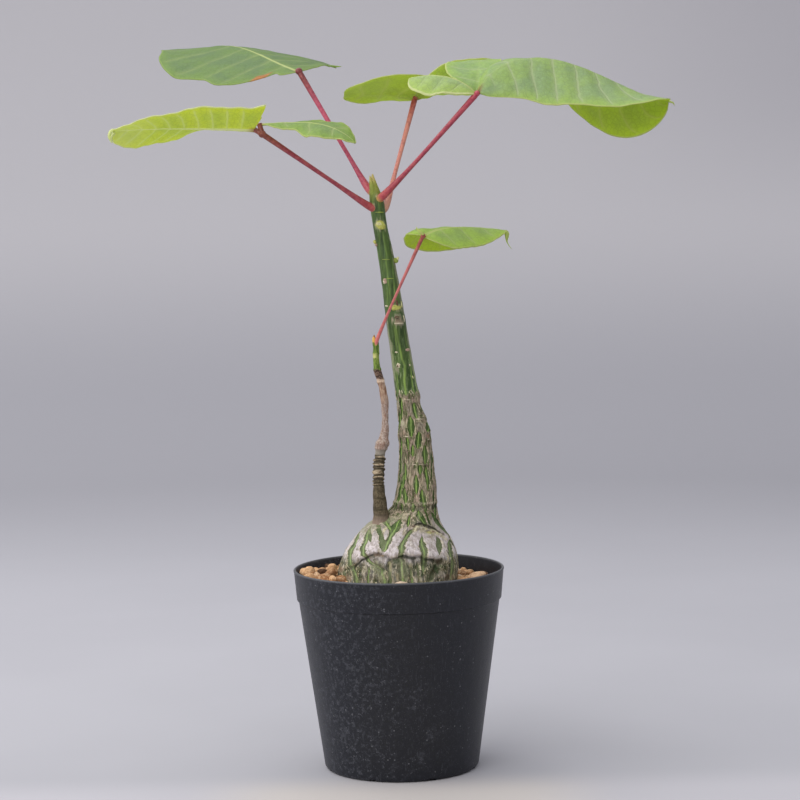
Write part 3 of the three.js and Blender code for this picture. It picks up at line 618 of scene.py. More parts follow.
# Marks painted on the bark: colour and its strength, direction, height, half width, half height, and how far
# they stand out. The dark brown and deep green marks in the hollows under the crease, at the seam and round
# the collar are painted shade, and the grey-green streaks up the young trunk's flanks are painted sheen.
PALE = srgb(224, 213, 186)
YELLOW = srgb(194, 194, 100)
ROSY = srgb(186, 156, 138)
UMBER = srgb(104, 74, 58)
LIME = srgb(152, 168, 76)
CREAM = srgb(222, 218, 158)
ORANGE = srgb(214, 164, 88)
GREY = srgb(166, 156, 140)
MOSS = srgb(104, 126, 78)
RUST = srgb(136, 92, 62)
DARK_BARK_AND_SHADE = srgb(60, 52, 38)
DEEP = srgb(58, 78, 46)
HAZE_AND_SHEEN = srgb(142, 156, 118)
TAN = srgb(206, 190, 150)
MARKS = [
    (GREY, 0.7, -128, 198.8, 1.8, 1.4, 0.1),
    (GREY, 0.8, -92, 179.6, 1.5, 4.2, 0.1),
    (PALE, 0.7, -131, 171.4, 1.6, 2.6, 0.25),
    (RUST, 0.6, -128, 167.4, 1.1, 1.5, 0.15),
    (GREY, 0.9, -63, 170.8, 2, 2.8, 0.2),
    (DARK_BARK_AND_SHADE, 0.5, -66, 169, 1, 1.6, -0.1),
    (RUST, 0.8, -29, 165.6, 2.8, 1.2, -0.15),
    (GREY, 0.6, -80, 156.5, 1.7, 3.4, 0.1),
    (ROSY, 0.5, -106, 147, 1.9, 6, 0.15),
    (ROSY, 0.4, -75, 142.8, 1.4, 3, 0.1),
    (RUST, 0.8, -93, 136.6, 0.5, 1.3, 0),
    (PALE, 0.5, -103, 127.4, 2.8, 1.8, 0.2),
    (PALE, 0.4, -118, 124.8, 2.4, 1, 0.15),
    (PALE, 0.5, -84, 128, 1.6, 1.2, 0.15),
    (MOSS, 0.6, -160, 121.5, 9, 3.6, 0),
    (MOSS, 0.6, -124, 125, 3, 1.8, 0),
    (HAZE_AND_SHEEN, 0.6, -172, 122, 6, 2.6, 0),
    (PALE, 0.8, -86, 120, 1.1, 1.4, 0.1),
    (HAZE_AND_SHEEN, 0.4, -70, 126.5, 1.2, 2, 0),
    (PALE, 0.6, -136, 125, 0.6, 1.2, 0.1),
    (PALE, 0.7, -151, 122, 1, 1.4, 0.15),
    (PALE, 0.7, -133, 121, 0.8, 1.6, 0.15),
    (CREAM, 0.6, -116, 121, 1, 2, 0.1),
    (HAZE_AND_SHEEN, 0.5, -112, 126.5, 1.4, 1.2, 0),
    (UMBER, 0.9, -73, 122.5, 1.2, 0.6, 0),
    (PALE, 0.9, -68, 121.6, 1.5, 0.6, 0.15),
    (UMBER, 0.8, -61, 120.9, 2, 0.4, 0),
    (PALE, 1, -57, 120.2, 1.8, 0.8, 0.2),
    (DARK_BARK_AND_SHADE, 0.8, -49, 119.9, 1.2, 0.4, -0.1),
    (YELLOW, 0.8, -46, 118.8, 1.8, 0.8, 0.2),
    (RUST, 0.8, -40, 119.2, 1.8, 0.4, 0),
    (CREAM, 0.8, -33, 118.6, 1.8, 0.8, 0.15),
    (DARK_BARK_AND_SHADE, 0.7, -28, 118.4, 1.2, 0.4, -0.1),
    (PALE, 0.7, -26, 117.4, 2, 0.9, 0.15),
    (PALE, 0.7, -32, 112, 0.9, 3.5, 0.15),
    (CREAM, 0.6, -35, 107.5, 0.9, 2.6, 0.15),
    (UMBER, 0.85, -114, 110, 3, 1.3, -0.1),
    (DARK_BARK_AND_SHADE, 0.8, -110, 110.4, 1.2, 0.6, -0.2),
    (ORANGE, 0.5, -108, 109.6, 1, 0.5, 0.1),
    (DARK_BARK_AND_SHADE, 0.7, -121, 108.4, 1.2, 0.7, -0.2),
    (RUST, 0.75, -157, 101, 3.6, 2, 0.2),
    (RUST, 0.7, -144, 98, 3, 1.8, 0.2),
    (DARK_BARK_AND_SHADE, 0.7, -149, 104, 1.1, 1.6, -0.1),
    (DARK_BARK_AND_SHADE, 0.7, -171, 101, 1.4, 1.6, -0.1),
    (ORANGE, 0.5, -164, 103.4, 1.6, 0.6, 0.1),
    (MOSS, 0.7, -112, 104, 3.4, 3, 0),
    (MOSS, 0.6, -106, 99.5, 2.4, 2.4, 0),
    (DEEP, 0.9, -94, 107.2, 3, 1.8, -0.1),
    (DEEP, 0.85, -86, 102.6, 4.8, 4.6, 0),
    (TAN, 0.6, -99, 104, 1, 2.6, 0.1),
    (TAN, 0.6, -92, 99.4, 0.7, 2, 0.1),
    (CREAM, 0.6, -100, 105.8, 0.8, 1.4, 0.1),
    (CREAM, 0.6, -78, 100.4, 0.8, 2, 0.1),
    (PALE, 0.6, -105, 100.4, 1.4, 1.8, 0.1),
    (PALE, 0.6, -71, 98, 1.4, 1.6, 0.1),
    (PALE, 0.5, -124, 102, 1.6, 2.4, 0.1),
    # Painted shade in the hollows under the crease's right end
    (DARK_BARK_AND_SHADE, 0.85, -46, 105.4, 2.6, 2.2, -0.2),
    (DEEP, 1, -52, 102, 3.2, 3.4, -0.2),
    (DEEP, 0.9, -60, 98.4, 3, 3, -0.2),
    (DARK_BARK_AND_SHADE, 0.7, -54, 100.5, 1.4, 3, -0.2),
    (DARK_BARK_AND_SHADE, 0.9, -38, 97, 4, 2, -0.6),
    (RUST, 0.6, -28, 96, 3, 1.6, 0),
    # Painted sheen: lighter grey-green streaks down the young trunk's left and right flanks
    (HAZE_AND_SHEEN, 0.55, -160, 206, 1.8, 18, 0),
    (HAZE_AND_SHEEN, 0.5, -16, 243, 1.6, 20, 0),
    (HAZE_AND_SHEEN, 0.45, -20, 205, 1.5, 16, 0),
    (ROSY, 0.7, -78, 222.6, 2.8, 2.4, 0.1),
    (UMBER, 0.8, -76, 224.6, 2, 1.6, 0),
    (YELLOW, 0.5, -60, 229.6, 2.4, 1.6, 0),
    (YELLOW, 0.6, -86, 270.4, 3.2, 3, 0.05),
    (ORANGE, 0.6, -62, 284, 1.6, 1.2, 0.1),
    (ORANGE, 0.5, -124, 280, 1.6, 1.4, 0.1),
    (LIME, 0.8, -96, 130.8, 1, 0.8, 0),
    (LIME, 0.7, -124, 131.2, 0.9, 0.8, 0),
    (LIME, 0.7, -62, 130.4, 1, 0.9, 0),
    (PALE, 0.8, -80, 132.8, 1, 0.7, 0.15),
    (PALE, 0.7, -110, 132.8, 1.2, 0.6, 0.15),
    (PALE, 0.7, -44, 130.6, 0.9, 1, 0.15),
    (DEEP, 0.8, -78, 130, 2.2, 0.9, -0.1),
    (DEEP, 0.8, -110, 130.4, 1.8, 0.8, -0.1),
    (CREAM, 0.6, -122, 184, 0.9, 2, 0.1),
    (TAN, 0.7, -68, 173.4, 1.9, 0.6, 0.2),
    (DEEP, 0.6, -58, 176.5, 1, 2.6, 0),
    (DEEP, 0.6, -114, 152, 1.4, 3, 0),
    (DEEP, 0.6, -66, 139, 1, 3, 0),
    (DEEP, 0.5, -30, 156, 1.4, 6, 0),
    (DEEP, 0.5, -146, 152, 1.4, 7, 0),
    (GREY, 0.5, 60, 172, 1.8, 3, 0.15),
    (GREY, 0.5, 130, 150, 2, 3.5, 0.15),
]
# Scars, buds' feet and lips of bark, each a small plate bent round the trunk: colour, direction, height,
# half width, half height, how far it stands out, and for some how far it leans, in degrees a mm
SCARS = [
    (YELLOW, -86, 270.4, 2.9, 2.3, 0.25),
    (CREAM, -94, 270.9, 1.8, 1.1, 0.36),
    (LIME, -75, 276.6, 2.4, 0.3, 0.2),
    (LIME, -90, 253.4, 2.2, 0.2, 0.2),
    (ROSY, -124, 242.8, 1.3, 1.4, 0.25),
    (PALE, -132, 242.2, 0.7, 0.9, 0.34),
    (LIME, -88, 244, 2.2, 0.2, 0.18),
    (YELLOW, -76, 229.6, 3.2, 1.5, 0.22),
    (PALE, -136, 230.4, 1.1, 0.4, 0.25),
    (UMBER, -68, 232, 0.8, 1.5, 0.34),
    (CREAM, -34, 231, 0.5, 1.5, 0.3),
    (UMBER, -76, 224, 2.2, 1.5, 0.12),
    (DARK_BARK_AND_SHADE, -80, 223.8, 1.2, 0.9, 0.26),
    (PALE, -72, 221.8, 2.7, 0.36, 0.3),
    (PALE, -34, 224, 0.4, 1.8, 0.3),
    (ROSY, -44, 208.6, 1.6, 0.7, 0.2),
    (PALE, -114, 207.5, 0.8, 0.4, 0.25),
    (PALE, -112, 201, 1.2, 1.2, 0.22),
    (UMBER, -116, 200.7, 0.6, 0.6, 0.3),
    (PALE, -50, 201, 0.4, 0.6, 0.25),
    (CREAM, -44, 195, 0.4, 0.8, 0.25),
    (PALE, -153, 181, 0.42, 6.4, 0.35, 2.5),
    (PALE, -128, 187, 0.5, 2.1, 0.3),
    (PALE, -108, 186.4, 0.4, 2.4, 0.35, -4),
    (TAN, -84, 186.6, 0.34, 2.2, 0.35, 5),
    (PALE, -92, 184, 1.9, 0.42, 0.5),
    (PALE, -66, 184.9, 1.3, 0.4, 0.45),
    (PALE, -62, 187, 0.34, 1.9, 0.3, -5),
    (TAN, -44, 186, 0.5, 2.2, 0.16, 3),
    (PALE, 10, 186, 0.4, 2.4, 0.16, -2),
    (PALE, 62, 187, 1.5, 0.4, 0.4),
    (PALE, 110, 186, 0.4, 2.6, 0.4, 2),
    (PALE, 160, 185, 0.4, 3, 0.4, -1),
    (PALE, -60, 174.2, 2.2, 0.5, 0.55, -6),
    (TAN, -47, 173.8, 0.4, 1.4, 0.3, 3),
    (PALE, -29, 167.4, 2.4, 0.3, 0.4),
    (PALE, -29, 163.9, 2.2, 0.3, 0.4),
    (PALE, -119, 165.7, 2.2, 0.34, 0.4),
    (PALE, -98, 152.1, 2, 0.34, 0.45),
    (PALE, -74, 152, 1.7, 0.26, 0.35),
    (UMBER, 40, 243, 1.3, 1.6, 0.3),
    (PALE, 95, 231, 2.6, 0.5, 0.25),
    (ROSY, 150, 216, 1.7, 1.2, 0.3),
    (YELLOW, 92, 264, 2.2, 1.8, 0.25),
]


def through_rows(rows, places):
    """Smooth values through the rows of a table, at row numbers that may lie between two rows."""
    table = np.array(rows, dtype=float)
    places = np.asarray(places, dtype=float)
    row = np.clip(places.astype(int), 0, len(table) - 2)
    part = (places - row)[..., None]
    start, end = table[row], table[row + 1]
    slope_in = (end - table[np.maximum(row - 1, 0)]) / 2
    slope_out = (table[np.minimum(row + 2, len(table) - 1)] - start) / 2
    square = 3 * (end - start) - 2 * slope_in - slope_out
    cubic = 2 * (start - end) + slope_in + slope_out
    return start + part * (slope_in + part * (square + part * cubic))


def hill(distance, width):
    return np.exp(-((distance / width) ** 2))


def ease(low, high, value):
    share = np.clip((value - low) / (high - low), 0, 1)
    return share * share * (3 - 2 * share)


def within(value, rise_from, rise_to, fall_from, fall_to):
    """A smooth step up and a smooth step down again: 1 between the two."""
    return ease(rise_from, rise_to, value) * (1 - ease(fall_from, fall_to, value))


def turn_between(first, second):
    return np.arctan2(np.sin(first - second), np.cos(first - second))


def noise_at(points, scale, seed=0.0):
    """Smooth noise from -1 to 1 at each point."""
    shifted = (points * scale + seed * 17.3).tolist()
    return np.array([noise.noise(point) for point in shifted])


def move_to(vertices, points):
    for vertex, point in zip(vertices, points.tolist()):
        vertex.co = point


def new_tube(shape, rows, sides=SMALL_SIDES, steps=SMALL_STEPS, relief=None):
    """Adds a closed round tube along a smooth path of rows x, y, z, radius, and gives its vertices.

    A tube's two ends are rounded off. relief gives how far each point stands out, from its angle and height.
    """
    made = bmesh.ops.create_grid(shape, x_segments=sides, y_segments=steps, size=0.5)["verts"]
    flat = np.array([vertex.co for vertex in made])
    angle = flat[:, 0] * 2 * math.pi
    share = flat[:, 1] + 0.5
    last = len(rows) - 1
    centre = through_rows(rows, share * last)
    ahead = through_rows(rows, np.clip(share + 0.01, 0, 1) * last)[:, :3]
    behind = through_rows(rows, np.clip(share - 0.01, 0, 1) * last)[:, :3]
    along = (ahead - behind) / np.linalg.norm(ahead - behind, axis=1)[:, None]
    across = np.cross((0, 1, 0), along)
    across /= np.linalg.norm(across, axis=1)[:, None]
    other = np.cross(along, across)
    rounding = 1.2 / steps * 2
    closing = np.clip(np.minimum(share, 1 - share) / rounding, 0, 1)
    radius = centre[:, 3]
    if relief is not None:
        radius = radius + relief(angle, centre[:, 2])
    radius = radius * np.sqrt(1 - (1 - closing) ** 2)
    out = across * np.cos(angle)[:, None] + other * np.sin(angle)[:, None]
    move_to(made, centre[:, :3] + out * radius[:, None])
    return made


trunk_shape = bmesh.new()
opened = trunk_shape.verts.layers.float.new("opened")
beside = trunk_shape.verts.layers.float.new("beside")
shaded = trunk_shape.verts.layers.float.new("shaded")
streaked = trunk_shape.verts.layers.float.new("streaked")
marked = trunk_shape.verts.layers.float_color.new("marked")
skin = bmesh.ops.create_grid(trunk_shape, x_segments=AROUND, y_segments=UPWARDS, size=0.5)["verts"]
flat = np.array([vertex.co for vertex in skin])
angle = flat[:, 0] * 2 * math.pi - math.pi / 2  # from straight behind, round by the front, to behind again
angle = turn_between(angle, 0)
row = np.interp(flat[:, 1] + 0.5, *zip(*MESH_SHARES))
height, centre_x, centre_y, radius = through_rows(TRUNK_RINGS, row).T
outward = np.stack([np.cos(angle), np.sin(angle), np.zeros_like(angle)], axis=1)
smooth_point = np.stack([centre_x, centre_y, height], axis=1) + outward * radius[:, None]

# Out-of-round form, knobs, crease and seam, and the swellings at the feet of the shoot and of the trunk
on_caudex = within(height, 84, 94, 118, 128)
lumps = LUMPS["two_sided"] * np.sin(2 * angle + 0.6 + height * 0.05)
lumps += LUMPS["three_sided"] * np.sin(3 * angle - height * 0.09)
relief = on_caudex * lumps
for knob_height, direction, out, half in KNOBS:
    spread = hill(turn_between(angle, math.radians(direction)), KNOB_SPREAD)
    relief += out * hill(height - knob_height, half) * spread
degrees = np.degrees(angle)
crease_ends = within(degrees, -160, -134, -50, -22)
above_crease = height - np.interp(degrees, *zip(*CREASE)) + 0.5 * noise_at(smooth_point, 0.25, 1)
lip = CREASE_LIP * hill(above_crease - 2.0, 2.2) - CREASE_DEPTH * hill(above_crease + 0.9, 0.8)
relief += crease_ends * lip
relief -= crease_ends * CREASE_UNDERCUT * hill(above_crease + 4.5, 4)
above_seam = height - np.interp(degrees, *zip(*SEAM)) + 0.3 * noise_at(smooth_point, 0.4, 2)
seam_ends = within(degrees, -80, -66, -30, -12)
relief += seam_ends * (SEAM_LIFT * hill(above_seam + 1.1, 0.9) - SEAM_DEPTH * hill(above_seam - 0.2, 0.6))
relief += 0.35 * seam_ends * hill(above_seam + 1.1, 1.3) * noise_at(smooth_point, 1.3, 16)
relief += 0.35 * on_caudex * noise_at(smooth_point, 0.11, 3)
from_shoot = np.hypot(smooth_point[:, 0] - SHOOT_FOOT[0], smooth_point[:, 1] - SHOOT_FOOT[1])
relief += SHOOT_FOOT_SWELL * hill(from_shoot, 6.5) * within(height, 112, 119, 124, 130)
above_collar = height - TRUNK_FOOT - 0.9 * noise_at(smooth_point, 0.3, 15)
relief += 0.35 * hill(above_collar - 2.2, 0.7) - 0.3 * hill(above_collar, 1)
# Painted shade: dark under the crease's overhang and below it, in the seam, and round the collar at the
# trunk's foot
dark = crease_ends * hill(above_crease + 1, 0.75) * (0.82 + 0.7 * noise_at(smooth_point, 0.45, 8))
dark += 2 * seam_ends * hill(above_seam - 0.3, 0.8) + 0.85 * hill(above_collar, 1.4)
below = crease_ends * ease(0.5, -1.5, above_crease) * ease(95, 104, height)
dark += 0.7 * below * (0.5 + 1.3 * noise_at(smooth_point * (1, 1, 0.4), 0.4, 12))
fringe = 1.8 * seam_ends * hill(above_seam + 1.6, 1.3) + 0.5 * crease_ends * hill(above_crease - 0.3, 0.45)
fringe += 0.8 * hill(above_collar - 2.2, 0.5)

# Cracks in the bark, as how far each point lies inside one and how far beside its middle line
drift = 0.45 * noise_at(smooth_point, 0.28, 4) + 0.2 * noise_at(smooth_point, 0.9, 5)
frayed = 0.22 * noise_at(smooth_point * (1, 1, 0.5), 0.8, 14)
inside = np.full_like(angle, -1.0)
aside = np.full_like(angle, NO_CRACK)


def with_crack(inside, aside, distance, half_width, bright=1):
    """Both values with one more crack, which counts where it is wider than those already there."""
    share = 1 - np.abs(distance) / np.maximum(half_width, 0.01)
    wider = share > inside
    return np.where(wider, share, inside), np.where(wider, distance if bright else NO_CRACK, aside)


# The front's cracks and lenses are listed above. Those of the back and the sides are drawn at random.
cracks = list(CRACKS)
lenses = list(LENSES)
chance = random.Random(11)
for number in range(12):
    direction = -4 + number * 16.5 + chance.uniform(-3, 3)
    half = chance.uniform(1.4, 2.4)
    path = [(direction, 124 - chance.uniform(0, 4), half * 0.6)]
    while path[-1][1] > 92:
        bend = chance.uniform(-4, 4)
        path.append((direction + bend, path[-1][1] - chance.uniform(3, 5), half * chance.uniform(0.7, 1.1)))
    cracks.append((number % 3 > 0, path))
for bright, path in cracks:
    directions, heights, halves = zip(*reversed(path))
    middle = np.radians(np.interp(height, heights, directions))
    ends = within(height, heights[0] - 1.2, heights[0] + 1, heights[-1] - 1, heights[-1] + 1.2)
    half = np.interp(height, heights, halves) * (1 + 0.15 * np.sin(height * 0.9 + heights[0]))
    across = turn_between(angle, middle) * radius + drift
    inside, aside = with_crack(inside, aside, across, half * ends, bright)
for level, count in ((118.5, 13), (122.5, 12), (126.5, 10)):
    for place in range(count):
        direction = (place + 0.5 * (level == 122.5)) * 360 / count + chance.uniform(-6, 6)
        middle_height = level + chance.uniform(-1, 1)
        heading = math.radians(direction)
        if turn_between(heading, math.radians(85)) < 1.8 and math.sin(heading) > -0.2:
            lenses.append((direction, middle_height, chance.uniform(1.8, 2.8), chance.uniform(0.9, 1.5), 0))
for level in range(10):
    for place in range(6):
        direction = -12 + 40 * place + (20 if level % 2 else 0) + chance.uniform(-7, 7)
        middle_height = 130.5 + 6.2 * level + chance.uniform(-1.8, 1.8)
        sizes = (chance.uniform(2.8, 4.4), chance.uniform(0.9, 1.6), chance.uniform(-1, 1))
        lenses.append((direction, middle_height, *sizes))
for direction, middle_height, half_height, half, lean in lenses:
    up = (height - middle_height) / (half_height * 1.15 + 0.4)
    lens = half * 1.1 * np.clip(1 - up * up, 0, 1) ** 0.8
    middle = np.radians(direction + lean * np.clip(height - middle_height, -half_height, half_height))
    across = turn_between(angle, middle) * radius + 0.5 * drift
    inside, aside = with_crack(inside, aside, across, lens)
inside = np.clip(inside + frayed, -1, 1)
bark_left = 1 - ease(*BARK_TOP, height + 3 * noise_at(smooth_point, 0.2, 6))
relief -= CRACK_DEPTH * ease(-0.1, 0.45, inside) * bark_left
relief += PLATE_RISE * bark_left * ease(0, -0.3, inside) * ease(90, 100, height)
corky = noise_at(smooth_point * (1, 1, 0.35), 0.75, 7) + 0.6 * noise_at(smooth_point * (1, 1, 0.5), 1.7, 9)
relief += CORK_RISE * (1 + ease(118, 132, height)) * bark_left * corky
relief += 0.1 * (1 - bark_left) * noise_at(smooth_point * (1, 1, 0.12), 0.8, 10)
lined = np.zeros_like(angle)
for half, path in GROWTH_LINES:
    directions, heights = zip(*reversed(path))
    across = turn_between(angle, np.radians(np.interp(height, heights, directions))) * radius + 0.4 * drift
    ends = within(height, heights[0] - 2, heights[0] + 2, heights[-1] - 2, heights[-1] + 2)
    lined = np.maximum(lined, ends * hill(across, half) * min(1, half * 2.2))
broken = np.clip(0.75 + 0.6 * noise_at(smooth_point * (1, 1, 0.3), 0.5, 13), 0, 1)
lined *= broken * (1 - 0.45 * ease(214, 230, height))
relief += GROWTH_LINE_RISE * lined
for scar in SCARS:
    relief += 0.18 * hill(height - scar[2], 1.6) * hill(turn_between(angle, math.radians(scar[1])), 0.9)

# Leaf scars, buds and other marks, painted over what lies below
paint = np.zeros((len(skin), 4))
warm = np.clip(seam_ends * hill(above_seam + 1.6, 1.8), 0, 1)[:, None]
paint[:, :3] = np.array(PALE[:3]) * (1 - 0.6 * warm) + np.array(CREAM[:3]) * 0.6 * warm
fresh = hill(aside, 0.55) * ease(0, 0.3, inside)
paint[:, 3] = np.clip(fringe * (0.6 + 1.5 * noise_at(smooth_point, 1.2, 11)), 0, 1)
for colour, strength, direction, mark_height, half_width, half_height, out in MARKS:
    sideways = turn_between(angle, math.radians(direction)) * radius
    ragged = 0.65 * noise_at(smooth_point * (1, 1, 0.5), 0.9, mark_height * 0.01)
    far = np.hypot(sideways / half_width, (height - mark_height) / half_height) + ragged
    cover = strength * (1 - ease(0.6, 1.15, far)) * (1 - 0.85 * fresh)
    relief += out * (1 - ease(0.3, 1.25, far))
    paint[:, :3] = paint[:, :3] * (1 - cover[:, None]) + np.array(colour[:3]) * cover[:, None]
    paint[:, 3] = np.maximum(paint[:, 3], cover)
relief *= ease(30, 40, height) * (1 - 0.8 * ease(286, 294, height))
move_to(skin, smooth_point + outward * relief[:, None])
for vertex, crack, distance, shade, streak, mark in zip(skin, inside, aside, dark, lined, paint.tolist()):
    vertex[streaked] = streak
    vertex[opened] = crack
    vertex[beside] = distance
    vertex[shaded] = shade
    vertex[marked] = mark
for root in ROOTS:
    for vertex in new_tube(trunk_shape, root):
        vertex[opened] = -1
        vertex[marked] = (*GREY[:3], 0.8)
for colour, direction, scar_height, half_width, half_height, out, *lean in SCARS:
    scar = bmesh.ops.create_icosphere(trunk_shape, subdivisions=2, radius=1)["verts"]
    for vertex in scar:
        rag = 1 + 0.35 * noise.noise(Vector((vertex.co.x, scar_height, vertex.co.z)) * 1.7)
        level = scar_height + vertex.co.z * half_height * rag
        row = np.interp(level, RING_HEIGHTS, range(len(TRUNK_RINGS)))
        _, middle_x, middle_y, reach = through_rows(TRUNK_RINGS, row)
        reach += SCAR_RISE + out * vertex.co.y
        turn = math.radians(direction + sum(lean) * (level - scar_height))
        turn += vertex.co.x * half_width * rag / reach
        vertex.co = (middle_x + reach * math.cos(turn), middle_y + reach * math.sin(turn), level)
        vertex[marked] = colour
        vertex[beside] = NO_CRACK

# The bud to the left and the larger one to the right, which stand clear of the trunk
for centre, size, turn, colour in [
    ((1.1, -0.6, 252.8), (1.5, 1.1, 1.3), 0.9, LIME),
    ((1.9, -0.8, 253.4), (0.7, 0.6, 1.3), 0.4, CREAM),
    ((-8.9, 0, 262), (0.9, 0.9, 1.2), -0.6, YELLOW),
    ((-8.3, -1, 260.6), (0.7, 0.8, 0.8), 0, ROSY),
]:
    bud = bmesh.ops.create_icosphere(trunk_shape, subdivisions=2, radius=1)["verts"]
    bmesh.ops.scale(trunk_shape, vec=size, verts=bud)
    bmesh.ops.rotate(trunk_shape, matrix=Matrix.Rotation(turn, 3, "Y"), verts=bud)
    bmesh.ops.translate(trunk_shape, vec=centre, verts=bud)
    for vertex in bud:
        vertex[marked] = colour
        vertex[beside] = NO_CRACK

# Scales round the terminal bud
for colour, scale in [
    (LIME, [
        (-9, -1.2, 283, 1.3), (-9.8, -1.7, 288, 1.3), (-10.4, -1.5, 291.4, 0.9), (-10.9, -1.1, 294.9, 0.15),
    ]),
    (YELLOW, [
        (-8.2, 0.4, 283, 1.4), (-8.4, 0, 288, 1.2), (-8.8, -0.2, 291.4, 0.7), (-9.2, -0.2, 293.6, 0.12),
    ]),
]:
    for vertex in new_tube(trunk_shape, scale):
        vertex[marked] = (*colour[:3], 0.6 if vertex.co.z < 290 else 0.2)
        vertex[beside] = NO_CRACK
close_up(trunk_shape, WELD)

# Corky grey-lilac plates with tan edges, and green tissue with a bright new line in each crack. Higher up
# the skin is smooth and green.
bark = Finish("caudex_bark")
around = bark.place()
fibres = bark.place((1, 1, 0.2))
level = bark.height()
in_crack = bark.attribute("opened")
cloud = bark.noise(around, 0.16, 4, 0.6)
fleck = bark.noise(around, 1.1, 5, 0.65)
fibre = bark.noise(fibres, 1.1, 5, 0.65)
thread = bark.noise(bark.place((1, 1, 0.14)), 1.9, 4, 0.6)
wrinkle = bark.noise(bark.place((1, 1, 0.24)), 0.6, 5, 0.68)
furrow = bark.absolute(bark.minus(bark.noise(fibres, 0.5, 3, 0.55), 0.5))
furrow = bark.step(furrow, 0.04, 0.008)

# Plates on the caudex, up the trunk, and the older bark below the crease
on_trunk = bark.step(bark.plus(level, bark.times(cloud, 12)), 120, 134)
brushed = bark.noise(bark.place((1, 1, 0.35)), 0.75, 4, 0.55)
plate = bark.blend(brushed, 0.36, 0.6, (186, 173, 168), (224, 214, 215))
plate = bark.wash(plate, (160, 146, 132), fleck, 0.4, 0.28, 0.3)
plate = bark.wash(plate, (172, 160, 132), cloud, 0.54, 0.68, 0.5)
plate = bark.wash(plate, (142, 124, 108), wrinkle, 0.58, 0.72, 0.3)
plate = bark.wash(plate, (236, 228, 218), wrinkle, 0.44, 0.34, 0.7)
plate = bark.mix(bark.times(furrow, 0.26), plate, srgb(112, 104, 78))
trunk_plate = bark.blend(wrinkle, 0.42, 0.56, (78, 80, 48), (168, 148, 130))
trunk_plate = bark.wash(trunk_plate, (98, 116, 64), brushed, 0.48, 0.34, 0.75)
trunk_plate = bark.wash(trunk_plate, (190, 172, 152), fleck, 0.52, 0.68, 0.6)
trunk_plate = bark.wash(trunk_plate, (212, 198, 166), fibre, 0.55, 0.62, 0.85)
trunk_plate = bark.wash(trunk_plate, (66, 84, 36), thread, 0.53, 0.6, 0.75)
plate = bark.mix(on_trunk, plate, trunk_plate)
below_crease = bark.step(level, 110, 104)
old_bark = bark.blend(wrinkle, 0.46, 0.6, (52, 66, 36), (140, 132, 98))
old_bark = bark.wash(old_bark, (226, 216, 184), fibre, 0.54, 0.6, 0.9)
old_bark = bark.wash(old_bark, (62, 86, 42), thread, 0.54, 0.62, 0.7)
old_bark = bark.mix(bark.times(furrow, 0.7), old_bark, srgb(52, 50, 34))
plate = bark.mix(bark.times(below_crease, bark.step(cloud, 0.3, 0.6, 0.6, 1)), plate, old_bark)

# Plate edges and the living tissue in the cracks
frayed = bark.minus(bark.plus(fleck, fibre), 1)
edge = bark.plus(in_crack, bark.times(frayed, bark.step(on_trunk, 0, 1, 0.7, 0.4)))
rim = bark.times(bark.step(edge, -0.25, -0.06), bark.step(edge, 0.12, 0.0))
flank_dark = bark.mix(on_trunk, srgb(64, 76, 48), srgb(36, 52, 22))
flank = bark.mix(on_trunk, srgb(112, 122, 86), srgb(70, 96, 42))
tissue = bark.mix(bark.step(edge, 0.05, 0.45), flank_dark, flank)
tissue_light = bark.mix(on_trunk, srgb(146, 150, 120), srgb(112, 126, 78))
tissue = bark.mix(bark.step(wrinkle, 0.44, 0.62, 0, 0.5), tissue, tissue_light)
tissue = bark.wash(tissue, (72, 88, 52), brushed, 0.42, 0.3, 0.5)
tissue = bark.wash(tissue, (66, 88, 48), thread, 0.54, 0.64, 0.4)
from_line = bark.absolute(bark.attribute("beside"))
from_line = bark.plus(from_line, bark.times(bark.minus(fibre, 0.5), 0.9))
from_line = bark.times(from_line, bark.step(on_trunk, 0, 1, 1.15, 1.5))
new_line = bark.times(bark.step(from_line, 0.75, 0.25), bark.step(in_crack, 0.25, 0.55))
line_share = bark.step(wrinkle, 0.38, 0.62, 0.95, 0.6)
line_colour = bark.mix(on_trunk, srgb(160, 184, 116), srgb(152, 182, 96))
tissue = bark.mix(bark.times(new_line, line_share), tissue, line_colour)
cracked = bark.mix(bark.step(edge, -0.03, 0.06), plate, tissue)
cracked = bark.mix(bark.times(rim, bark.step(fleck, 0.38, 0.6, 0.1, 0.85)), cracked, srgb(208, 196, 162))

# Smooth young skin, and the bud at its tip
streaks = bark.noise(bark.place((1, 1, 0.06)), 0.55, 4, 0.6)
hairs = bark.noise(bark.place((1, 1, 0.05)), 1.2, 3, 0.6)
young = bark.blend(streaks, 0.36, 0.56, (46, 66, 28), (74, 96, 44))
young = bark.wash(young, (106, 130, 80), hairs, 0.5, 0.66, 0.5)
pale_hairs = bark.step(bark.noise(bark.place((1, 1, 0.09)), 1.9, 3, 0.6), 0.55, 0.63)
young = bark.mix(bark.times(pale_hairs, bark.step(level, 224, 202, 0.08, 0.62)), young, srgb(156, 170, 124))
young = bark.wash(young, (106, 134, 62), streaks, 0.57, 0.66, 0.5)
young = bark.wash(young, (80, 106, 62), cloud, 0.45, 0.7, 0.3)
young = bark.mix(bark.attribute("streaked"), young, srgb(140, 168, 80))
shade_here = bark.times(bark.step(level, 204, 212), bark.step(level, 232, 222))
young = bark.mix(bark.times(shade_here, 0.4), young, srgb(36, 54, 22))
tip = bark.step(level, 279, 292)
young = bark.mix(bark.times(tip, 0.85), young, bark.mix(fleck, srgb(128, 144, 46), srgb(186, 184, 84)))
young = bark.wash(young, (206, 184, 118), level, 290, 294, 0.8)

